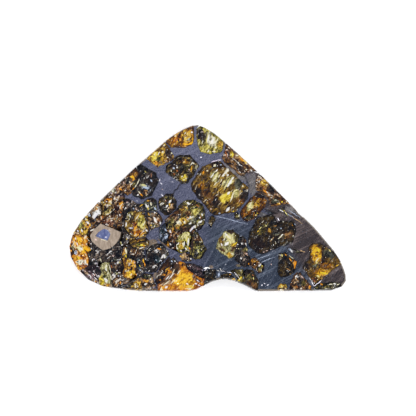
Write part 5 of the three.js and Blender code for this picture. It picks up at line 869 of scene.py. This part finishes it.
pieceShape = {
    "net": 0.34,  # mm, longest edge of the net over a face
    "quickNet": 1.8,
    "upright": 0.5, "lying": 0.95,  # height of the normal: less is a wall, more is a level face
    "reach": 0.45,  # mm that a wall looks for a neighbour
    "meet": 0.47,  # share of the gap between two crystals that each of them takes
    "relief": 0.010,  # mm, how far the polish leaves a point of stone low
    "slopeKept": 0.10,  # share of the solids' sloping faces that the polished stone keeps
    "thin": 0.12,  # mm that a vein loses on each side
    "thinFrom": -3.0, "thinOver": 3.0,  # mm, left of this x it begins, and over this length it grows
    "joint": 0.02,  # mm left open beside the metal
    "wave": 0.20, "waveLength": 1.0,  # mm, long wobble of every outline
    "ripple": 0.10, "rippleLength": 0.42,  # mm, short wobble
    "wobbleSeed": 7,  # without it the noise is another one in each run
    "calm": 0.9,  # mm from the outer edge, the nodule and some straight sides where the wobble fades
    "calmSpots": [
        (19.5, -14.2), (20.2, -15.0), (20.8, -15.7), (21.6, -15.1), (22.5, -14.3), (23.4, -13.4),
        (24.3, -12.5), (16.2, -9.3), (17.0, -10.2), (17.9, -11.1), (17.6, -12.2), (17.2, -13.2),
        (14.1, -9.6), (14.0, -10.8), (13.9, -12.2),
    ],
}


def treeOf(nodeName):
    mesh = frame["nodes"][nodeName].data
    return BVHTree.FromPolygons([v.co for v in mesh.vertices], [tuple(p.vertices) for p in mesh.polygons])


def pointTree(points):
    tree = KDTree(len(points))
    for i, point in enumerate(points):
        tree.insert((point.x, point.y, 0.0), i)
    tree.balance()
    return tree


def alongEdge(edge, spacing):
    start, end = (vert.co for vert in edge.verts)
    steps = max(int((end - start).length / (spacing * mm)), 1)
    return [start.lerp(end, i / steps) for i in range(steps + 1)]


def mergedCopy(nodeName):
    shell = bmesh.new()
    shell.from_mesh(frame["nodes"][nodeName].data)
    bmesh.ops.remove_doubles(shell, verts=shell.verts, dist=1e-7)
    shell.normal_update()
    return shell


def isWall(face):
    return abs(face.normal.z) < pieceShape["upright"]


def outward(face):
    return Vector((face.normal.x, face.normal.y, 0.0)).normalized()


def outerEdge(trees):
    # points along the slice's outer side, on walls that look out and meet nothing, on the nodule,
    # and the calm spots
    spacing, gap, far = 0.3, 0.02, 4.0  # mm
    points = []
    for name in frame["nodes"]:
        shell = mergedCopy(name)
        for face in shell.faces:
            if not isWall(face):
                continue
            start = face.calc_center_median() + outward(face) * gap * mm
            if all(tree.ray_cast(start, outward(face), far * mm)[0] is None for tree in trees.values()):
                for edge in face.edges:
                    points += alongEdge(edge, spacing)
        if name == "nodule":
            points += [point for edge in shell.edges for point in alongEdge(edge, spacing)]
        shell.free()
    points += [onFace(x, y) * mm for x, y in pieceShape["calmSpots"]]
    return pointTree(points)


def wallPoints(shell):
    # each point of a wall, the way out from it, and where to look out from, clear of the sloping faces
    margin = 0.5 * mm
    for vert in shell.verts:
        flat = sum((outward(face) for face in vert.link_faces if isWall(face)), Vector((0.0, 0.0, 0.0)))
        if flat.length >= 0.2:  # it is short where walls look opposite ways
            height = min(max(vert.co.z, margin), top - margin)
            yield vert, flat.normalized(), Vector((vert.co.x, vert.co.y, height))


def veinThinning(spot):
    # how much a wall between metal and stone moves into the metal at a place: more on the left
    x = spot.x / mm - sketchShift.x
    share = (pieceShape["thinFrom"] - x) / pieceShape["thinOver"]
    return pieceShape["thin"] * min(max(share, 0.0), 1.0) * mm


def growToNeighbours(shell, ownName, trees):
    # walls move out to the metal, or nearly half way to the next crystal
    moves = {}
    for vert, flat, origin in wallPoints(shell):
        best = None
        for other, tree in trees.items():
            if other == ownName:
                continue
            hit = tree.ray_cast(origin, flat, pieceShape["reach"] * mm)
            if hit[0] is not None and (best is None or hit[3] < best[0]):
                best = (hit[3], other)
        if best is not None:
            share = pieceShape["meet"] * best[0]
            if best[1] == "metal":
                share = best[0] - pieceShape["joint"] * mm + veinThinning(vert.co)
            moves[vert] = flat * max(share, 0.0)
    for vert, move in moves.items():
        vert.co += move


def thinVeins(shell, trees):
    # the metal's walls draw back from the stone beside them
    gap, reach = 0.01, 0.5  # mm
    moves = {}
    for vert, flat, origin in wallPoints(shell):
        if any(tree.ray_cast(origin + flat * gap * mm, flat, reach * mm)[0] is not None
               for name, tree in trees.items() if name != "metal"):
            moves[vert] = -flat * veinThinning(vert.co)
    for vert, move in moves.items():
        vert.co += move


def layFlush(shell):
    # stone is polished level with the metal, and keeps a trace of the solid's sloping faces
    for vert in shell.verts:
        if any(abs(face.normal.z) > pieceShape["lying"] for face in vert.link_faces):
            if vert.co.z > top / 2:
                vert.co.z = top - (top - vert.co.z) * pieceShape["slopeKept"]
            else:
                vert.co.z *= pieceShape["slopeKept"]


def rimOf(shell):
    # points along the outline of the polished face, for the distance of any point from it
    points = []
    for edge in shell.edges:
        upright = [isWall(face) for face in edge.link_faces]
        if len(upright) == 2 and upright[0] != upright[1] and max(vert.co.z for vert in edge.verts) > top / 2:
            points += alongEdge(edge, 0.1)
    return pointTree(points)


def refine(shell, length):
    # halves long edges until a net of even triangles covers the piece
    rounds, bend = 9, 0.02  # at most so many times, and radians under which two faces count as one
    for turn in range(rounds):
        long = [edge for edge in shell.edges if edge.calc_length() > length * mm]
        if not long:
            break
        bmesh.ops.subdivide_edges(shell, edges=long, cuts=1, use_single_edge=True)
        bmesh.ops.triangulate(shell, faces=[face for face in shell.faces if len(face.verts) > 3])
        flat = [edge for edge in shell.edges
                if len(edge.link_faces) == 2 and edge.calc_face_angle(1.0) < bend]
        bmesh.ops.beautify_fill(shell, faces=shell.faces, edges=flat, use_restrict_tag=False, method="AREA")


def wobble(shell, outer):
    # the same sideways wobble for every piece, so neighbours stay side by side
    for vert in shell.verts:
        spot = Vector((vert.co.x, vert.co.y, 0.0)) / mm
        calm = min(outer.find((vert.co.x, vert.co.y, 0.0))[2] / mm / pieceShape["calm"], 1.0)
        wave = noise_vector(spot / pieceShape["waveLength"]) * pieceShape["wave"]
        ripple = noise_vector(spot / pieceShape["rippleLength"]) * pieceShape["ripple"]
        vert.co.x += (wave.x + ripple.x) * calm * mm
        vert.co.y += (wave.y + ripple.y) * calm * mm


def dressedCopy(name, material, outer, trees, number):
    random = Random(number + 11)
    shell = mergedCopy(name)
    isStone = name.startswith("olivine_")
    if name == "metal":
        thinVeins(shell, trees)
    else:
        growToNeighbours(shell, name, trees)
    if isStone:
        layFlush(shell)
    shell.normal_update()
    rim = rimOf(shell)
    refine(shell, pieceShape["net"] * (1.0))
    shell.normal_update()
    layer = shell.verts.layers.float.new("rim")
    for vert in shell.verts:
        vert[layer] = rim.find((vert.co.x, vert.co.y, 0.0))[2] / mm
        if isStone and all(abs(face.normal.z) > pieceShape["upright"] for face in vert.link_faces):
            inward = -1.0 if vert.co.z > top / 2 else 1.0
            vert.co.z += inward * pieceShape["relief"] * mm * random.random()
    wobble(shell, outer)
    mesh = bpy.data.meshes.new(name + "Dressed")
    shell.to_mesh(mesh)
    shell.free()
    mesh.materials.append(material)
    piece = bpy.data.objects.new(name.replace("olivine_", "crystal_") + ("" if isStone else "_dressed"), mesh)
    bpy.context.scene.collection.objects.link(piece)
    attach(piece, "root")
    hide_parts(name)


seed_set(pieceShape["wobbleSeed"])
nodeTrees = {name: treeOf(name) for name in frame["nodes"]}
outerTree = outerEdge(nodeTrees)
for number, (name, look) in enumerate(crystalLooks.items()):
    dressedCopy(name, makeCrystalMaterial(name, look, number), outerTree, nodeTrees, number)


# Nickel-iron

metalLook = {
    # blue, slate and violet are painted reflection tints of the polish; grey and tan are the metal's own
    # patches
    "blue": "9a9aae", "violet": "8c7b74", "slate": "7c8490", "grey": "b0a69e", "tan": "bfa58a",
    "side": "5a544e", "sideLight": "847b72", "speck": "ece6e4", "rim": "120e10",
    # where one painted reflection tint goes over to the next, in mm, and how far a slow noise moves the
    # border
    "toLower": (-2.0, 4.0, 1.0, 0.0), "lowerNoise": 6.0, "toRight": (0.0, 7.0), "rightNoise": 8.0,
    "toViolet": (10.5, 13.0), "violetSlant": 0.6, "violetNoise": 3.0,
    # fine marks: angle in degrees, length and width in mm, share of the light
    "brush": ((27, 6.0, 0.22, 0.50), (62, 5.0, 0.17, 0.35), (-40, 3.0, 0.15, 0.15)),
    # noises by scale, detail and roughness
    "brushNoise": (0.5, 2.0, 0.7), "wideNoise": (0.16, 2.0), "mottleNoise": (4.0, 3.0, 0.8),
    "sawnNoise": (1.0, 3.0, 0.7),
    "brushFrom": (0.45, 0.72),
    "brushShown": (-10.0, 20.0, 0.35, 1.0),  # few marks in the upper left, all in the lower right
    "brushMean": 0.35,  # what stands for the marks where few are shown
    "mottle": (0.3, 0.7, 0.0, 0.45), "dimmest": 0.58, "swing": 0.62,  # grain of the polish; tone from and by
    # bright specks: scale, how rare, how wide, share of their tint and share that isn't metallic
    "speckScale": 4.0, "speckFrom": (0.86, 0.92), "speckReach": (0.2, 0.5, 1.0, 0.0),
    "speckShare": 0.6, "speckPale": 0.12,
    "markDrift": 0.4, "markPale": 0.8,
    "rimFrom": (-0.26, -0.10, 0.45, 1.0), "rimNoise": -0.45,  # dark broken line beside the stone
    "sawnShape": (0.4, 0.4, 7.0), "sawn": (0.35, 0.65), "flatFrom": (0.80, 0.98),
    "gloss": (0.1, 1.0, 0.24, 0.36), "sideGloss": (0.75, 0.75, 0.75, 1.0),
    # tints over places: (tint, share that isn't metallic, x, y, half length, half width, turn)
    "patches": [
        ("tan", 0.15, -11.2, -6.9, 1.0, 0.6, 0), ("tan", 0.15, -10.6, -13.6, 0.5, 0.8, 0),
        ("tan", 0.10, -11.5, -7.6, 1.2, 0.4, 30), ("tan", 0.15, -8.9, -7.3, 1.9, 0.25, -38),
        ("tan", 0.10, -15.4, -15.1, 2.4, 0.35, 35), ("grey", 0.11, 5.4, 7.4, 3.4, 1.1, -42),
        ("grey", 0.11, 8.7, 4.6, 1.1, 2.5, 0), ("grey", 0.10, 16.3, -0.5, 1.4, 0.6, -30),
        ("tan", 0.20, 0.4, -11.9, 0.5, 0.35, 0), ("grey", 0.08, 10.6, -1.4, 1.6, 0.5, -20),
        ("tan", 0.15, 5.9, -11.6, 0.6, 0.3, 0),
    ],
    # fine marks: the white, silver and sky ones are painted glints, among them the bright line along the
    # V-shaped edge; the others are coloured spots, streaks and pits
    "marks": [
        ("blueGrey", 1.4, -1.7, 7.8, -3.4, 0.07), ("lilac", 0.6, 9.2, 2.4, 9.6, 0.22),
        ("silver", -9.9, 5.8, -9.8, 5.4, 0.07), ("silver", -9.8, 5.1, -9.4, 4.6, 0.07),
        ("silver", -9.6, 2.6, -9.2, 2.3, 0.10), ("pink", -9.4, 3.7, -9.2, 3.6, 0.08),
        ("silver", -14.5, 1.4, -14.3, 1.3, 0.10), ("silver", -7.4, 5.2, -7.2, 5.1, 0.09),
        ("silver", -1.7, 10.1, -1.5, 10.1, 0.14), ("lilac", -0.3, 0.6, 0.4, -0.6, 0.09),
        ("silver", 19.9, -13.8, 20.9, -15.7, 0.08), ("silver", 20.9, -15.7, 22.4, -14.6, 0.08),
        ("silver", 13.7, -12.8, 14.3, -13.7, 0.08), ("ink", -5.7, 4.9, -7.2, 2.7, 0.06),
        # beside the notch
        ("white", 1.6, -12.6, 2.0, -12.7, 0.18), ("white", 2.2, -12.3, 2.6, -12.8, 0.16),
        ("silver", 2.6, -12.7, 3.6, -12.9, 0.11), ("silver", 3.6, -12.9, 4.9, -13.1, 0.07),
        ("blueGrey", 2.1, -12.9, 1.9, -13.7, 0.24), ("white", -1.0, -12.2, -0.2, -12.0, 0.22),
        ("white", -0.2, -12.0, 0.1, -12.3, 0.12), ("silver", -0.9, -12.6, -0.5, -12.4, 0.10),
        ("moss", 5.9, -11.6, 6.0, -11.8, 0.16), ("silver", 3.2, -11.4, 3.4, -11.5, 0.07),
        ("silver", 10.9, -15.1, 11.2, -15.3, 0.09), ("silver", 11.5, -15.5, 11.9, -15.4, 0.08),
        ("silver", 10.4, -15.6, 10.6, -15.5, 0.07), ("pink", 12.3, -11.3, 12.5, -11.5, 0.09),
        ("silver", 8.2, -7.4, 8.4, -7.6, 0.11), ("sky", 5.9, -6.2, 6.4, -5.7, 0.12),
        ("blueGrey", 9.5, -10.4, 12.4, -9.3, 0.07), ("blueGrey", 10.3, -11.0, 13.2, -9.9, 0.06),
        # pits and slivers at the right
        ("ink", 11.2, -0.8, 13.3, -1.2, 0.20), ("teal", 11.6, -0.9, 12.6, -1.1, 0.10),
        ("silver", 12.1, -1.1, 12.3, -1.1, 0.08), ("white", 14.2, -0.4, 14.9, -0.8, 0.16),
        ("moss", 14.6, -0.2, 15.1, -0.9, 0.14), ("yellow", 14.9, -0.6, 15.1, -0.7, 0.10),
        ("pale", 15.2, -0.9, 15.8, -1.7, 0.12), ("silver", 13.7, -2.1, 14.0, -2.6, 0.14),
        ("ink", 15.4, -0.1, 15.6, -0.1, 0.14), ("blueGrey", 16.0, -0.6, 18.2, -2.0, 0.08),
        ("blueGrey", 15.6, -1.2, 17.6, -2.5, 0.06), ("tan", 16.6, -1.8, 18.6, -3.2, 0.06),
        ("sky", 15.9, -8.2, 16.5, -8.6, 0.26), ("white", 16.3, -8.4, 16.7, -8.9, 0.20),
        ("ink", 16.9, -8.3, 17.9, -8.7, 0.20), ("moss", 17.2, -8.9, 18.2, -8.9, 0.14),
        ("cream", 17.6, -8.6, 17.9, -8.8, 0.08), ("tan", 18.3, -8.7, 19.1, -8.9, 0.12),
    ],
}


def makeBrush():
    # fine straight marks in one direction
    inputs = {"Place": "v", "Turn": "f", "Length": "f", "Width": "f", "Seed": "f"}
    tree, given, out = newGroup("brushMarks", inputs, {"Marks": "f"})
    scale = vector(tree, given["Length"], given["Width"], 1.0)
    shift = vector(tree, given["Seed"], given["Seed"])
    local = locally(tree, given["Place"], given["Turn"], scale, shift)
    marks = ramped(tree, noise(tree, local, *metalLook["brushNoise"]), *metalLook["brushFrom"])
    tree.links.new(marks, out["Marks"])
    return tree


def brushed(tree, place, axes):
    # light of the fine marks and of the polish's grain, and the grain alone
    brushGroup = makeBrush()
    total = 0.0
    for number, (angle, length, width, share) in enumerate(metalLook["brush"]):
        one = placed(tree, brushGroup, {"Place": place, "Turn": math.radians(angle), "Length": length,
                                        "Width": width, "Seed": 5.1 * number})["Marks"]
        total = sums(tree, "MULTIPLY_ADD", one, share, total)
    shown = ramped(tree, sums(tree, "SUBTRACT", axes["X"], axes["Y"]), *metalLook["brushShown"])
    mean = metalLook["brushMean"]
    total = sums(tree, "ADD", sums(tree, "MULTIPLY", total, shown), mean)
    total = sums(tree, "MULTIPLY_ADD", shown, -mean, total)
    mottle = noise(tree, place, *metalLook["mottleNoise"])
    return sums(tree, "ADD", total, ramped(tree, mottle, *metalLook["mottle"])), mottle


def makeMetalMaterial():
    look = metalLook
    material, tree, surface = newMaterial("nickelIron")[:3]
    place = placeInMm(tree)
    axes = put(tree, "SeparateXYZ", {0: place}).outputs
    # painted reflection: bluish over most of the face, slate towards the lower right and violet at the right
    wide = noise(tree, place, *look["wideNoise"])
    along = ramped(tree, sums(tree, "MULTIPLY_ADD", wide, look["rightNoise"], axes["X"]), *look["toRight"])
    low = ramped(tree, sums(tree, "MULTIPLY_ADD", wide, look["lowerNoise"], axes["Y"]), *look["toLower"])
    colour = mixed(tree, sums(tree, "MULTIPLY", low, along), linear(look["blue"]), linear(look["slate"]))
    slant = sums(tree, "MULTIPLY_ADD", axes["Y"], look["violetSlant"], axes["X"])
    slant = sums(tree, "MULTIPLY_ADD", sums(tree, "SUBTRACT", wide, 0.5), look["violetNoise"], slant)
    colour = mixed(tree, ramped(tree, slant, *look["toViolet"]), colour, linear(look["violet"]))
    colour, pale = addPatches(tree, colour, 0.0, place, look["patches"], look)
    total, mottle = brushed(tree, place, axes)
    tone = sums(tree, "MULTIPLY_ADD", total, look["swing"], look["dimmest"])
    colour = vectors(tree, "MULTIPLY", colour, vector(tree, tone, tone, tone))
    specks = cells(tree, place, look["speckScale"])
    speck = sums(tree, "MULTIPLY", ramped(tree, channels(tree, specks["Color"])[0], *look["speckFrom"]),
                 ramped(tree, specks["Distance"], *look["speckReach"]))
    speckShare = sums(tree, "MULTIPLY", speck, look["speckShare"])
    colour = mixed(tree, speckShare, colour, linear(look["speck"]))
    pale = sums(tree, "MULTIPLY_ADD", speck, look["speckPale"], pale)
    # marks over the colour, some of them painted glints
    colour, cover = addMarks(tree, colour, raggedPlace(tree, place, look["markDrift"]), look["marks"])
    cover = sums(tree, "MAXIMUM", sums(tree, "MULTIPLY", cover, look["markPale"]), pale)
    rim = put(tree, "Attribute", attribute_name="rim").outputs["Fac"]
    edge = ramped(tree, sums(tree, "MULTIPLY_ADD", mottle, look["rimNoise"], rim), *look["rimFrom"])
    colour = mixed(tree, edge, linear(look["rim"]), colour)
    up = put(tree, "SeparateXYZ", {0: put(tree, "TexCoord").outputs["Normal"]}).outputs["Z"]
    flatShare = ramped(tree, up, *look["flatFrom"])  # the sawn side and its broken edge are dull
    sawn = noise(tree, vectors(tree, "MULTIPLY", place, look["sawnShape"]), *look["sawnNoise"])
    side = mixed(tree, ramped(tree, sawn, *look["sawn"]), linear(look["side"]), linear(look["sideLight"]))
    colour = mixed(tree, flatShare, side, colour)
    tree.links.new(colour, surface.inputs["Base Color"])
    gloss = ramped(tree, total, *look["gloss"])
    tree.links.new(mixed(tree, flatShare, look["sideGloss"], gloss), surface.inputs["Roughness"])
    tree.links.new(ramped(tree, cover, 0.0, 1.0, 1.0, 0.0), surface.inputs["Metallic"])
    return material


dressedCopy("metal", makeMetalMaterial(), outerTree, nodeTrees, 100)


# Nodule

skinLook = {
    "shape": (1.6, 0.5, 1.0), "noise": (1.6, 4.0, 0.75), "soft": (0.35, 0.70),  # upright streaks
    "markDrift": 0.3, "markMetallic": 0.3, "roughness": 0.4,
}
noduleLook = {
    "low": "928170", "high": "b1a08e", "metallic": 0.5,
    "marks": [
        ("pink", -22.7, -6.3, -22.5, -6.6, 0.20), ("cream", -21.5, -6.4, -20.6, -6.6, 0.09),
        ("cream", -20.6, -6.6, -20.2, -6.7, 0.07), ("bark", -19.8, -6.8, -19.6, -7.6, 0.05),
        ("bark", -19.6, -7.6, -19.5, -8.2, 0.05), ("pink", -20.0, -4.5, -19.7, -4.6, 0.08),
    ],
}
coreLook = {
    "low": "6670a0", "high": "9ca4c8", "metallic": 1.0,
    # the silver and sky marks are painted glints along the core's edge
    "marks": [
        ("silver", -20.7, -5.9, -20.5, -6.0, 0.16), ("sky", -20.3, -4.6, -19.9, -4.8, 0.14),
        ("sky", -19.9, -5.1, -19.6, -5.3, 0.14), ("sky", -21.9, -5.6, -21.8, -5.7, 0.08),
    ],
}


def makeNoduleMaterial(name, look):
    material, tree, surface = newMaterial(name + "Skin")[:3]
    place = placeInMm(tree)
    grain = noise(tree, vectors(tree, "MULTIPLY", place, skinLook["shape"]), *skinLook["noise"])
    grain = ramped(tree, grain, *skinLook["soft"])
    colour = mixed(tree, grain, linear(look["low"]), linear(look["high"]))
    flat = raggedPlace(tree, place, skinLook["markDrift"])
    colour, cover = addMarks(tree, colour, flat, look["marks"])
    tree.links.new(colour, surface.inputs["Base Color"])
    metallic = ramped(tree, cover, 0.0, 1.0, look["metallic"], skinLook["markMetallic"])
    tree.links.new(metallic, surface.inputs["Metallic"])
    surface.inputs["Roughness"].default_value = skinLook["roughness"]
    return material


dressedCopy("nodule", makeNoduleMaterial("nodule", noduleLook), outerTree, nodeTrees, 101)
dressedCopy("nodule_core", makeNoduleMaterial("noduleCore", coreLook), outerTree, nodeTrees, 102)
print("nodule dressed")


# Floor, light and camera

stageLook = {
    "floor": (0.95, 0.95, 0.95, 1.0), "floorSize": 1.5, "floorDrop": 0.02,  # m, and mm below the slice
    "overhead": (0.090, 0.120, 0.205, 1.0), "around": (1.9, 1.9, 1.9, 1.0),
    "overheadFrom": (0.72, 0.90),  # height in the sky where around goes over to overhead
    "lamps": {"keyLamp": (-35.0, 55.0), "fillLamp": (60.0, 50.0), "backLamp": (170.0, 60.0)},  # degrees
    "lampDistance": 0.6, "lampSize": 0.05, "lampPower": 0.6,  # m, m and watts
    "elevation": 84.0, "lens": 120.0,  # the camera's, in degrees and mm
    "frame": 83.2,  # mm, width of the picture at the polished face
    "aim": (0.10, -0.15),  # mm, the place in the middle of the picture
}


def makeFloor():
    floor = bmesh.new()
    bmesh.ops.create_grid(floor, x_segments=1, y_segments=1, size=stageLook["floorSize"])
    mesh = bpy.data.meshes.new("floor")
    floor.to_mesh(mesh)
    floor.free()
    for vert in mesh.vertices:
        vert.co.z = -stageLook["floorDrop"] * mm
    material, tree, surface = newMaterial("paleFloor")[:3]
    surface.inputs["Base Color"].default_value = stageLook["floor"]
    surface.inputs["Roughness"].default_value = 1.0
    surface.inputs["Specular IOR Level"].default_value = 0.0
    mesh.materials.append(material)
    floorObject = bpy.data.objects.new("floor", mesh)
    bpy.context.scene.collection.objects.link(floorObject)


def makeSky():
    # a white tent, dim overhead, so that the polished face stays dark
    world = bpy.data.worlds.new("studio")
    world.use_nodes = True
    tree = world.node_tree
    height = put(tree, "SeparateXYZ", {0: put(tree, "TexCoord").outputs["Generated"]}).outputs["Z"]
    share = ramped(tree, height, *stageLook["overheadFrom"])
    tree.links.new(mixed(tree, share, stageLook["around"], stageLook["overhead"]),
                   tree.nodes["Background"].inputs["Color"])
    bpy.context.scene.world = world
    bpy.context.scene.view_settings.view_transform = "Standard"


def awayAt(azimuth, elevation):
    # direction from the part, the azimuth counted from the front
    a, e = math.radians(azimuth), math.radians(elevation)
    return Vector((math.sin(a) * math.cos(e), -math.cos(a) * math.cos(e), math.sin(e)))


def addLamp(name, azimuth, elevation):
    data = bpy.data.lights.new(name, "AREA")
    data.shape = "DISK"
    data.size = stageLook["lampSize"]
    data.energy = stageLook["lampPower"]
    lamp = bpy.data.objects.new(name, data)
    away = awayAt(azimuth, elevation)
    lamp.location = away * stageLook["lampDistance"]
    lamp.rotation_euler = away.to_track_quat("Z", "Y").to_euler()
    bpy.context.scene.collection.objects.link(lamp)


def addCamera():
    data = bpy.data.cameras.new("camera")
    data.lens = stageLook["lens"]
    data.clip_start = 0.01
    camera = bpy.data.objects.new("camera", data)
    away = awayAt(0.0, stageLook["elevation"])
    x, y = stageLook["aim"]
    distance = stageLook["frame"] * mm * data.lens / data.sensor_width
    camera.location = Vector((x * mm, y * mm, top)) + away * distance
    camera.rotation_euler = away.to_track_quat("Z", "Y").to_euler()
    bpy.context.scene.collection.objects.link(camera)
    bpy.context.scene.camera = camera


makeFloor()
makeSky()
for lampName, (azimuth, elevation) in stageLook["lamps"].items():
    addLamp(lampName, azimuth, elevation)
addCamera()
print("stage made")
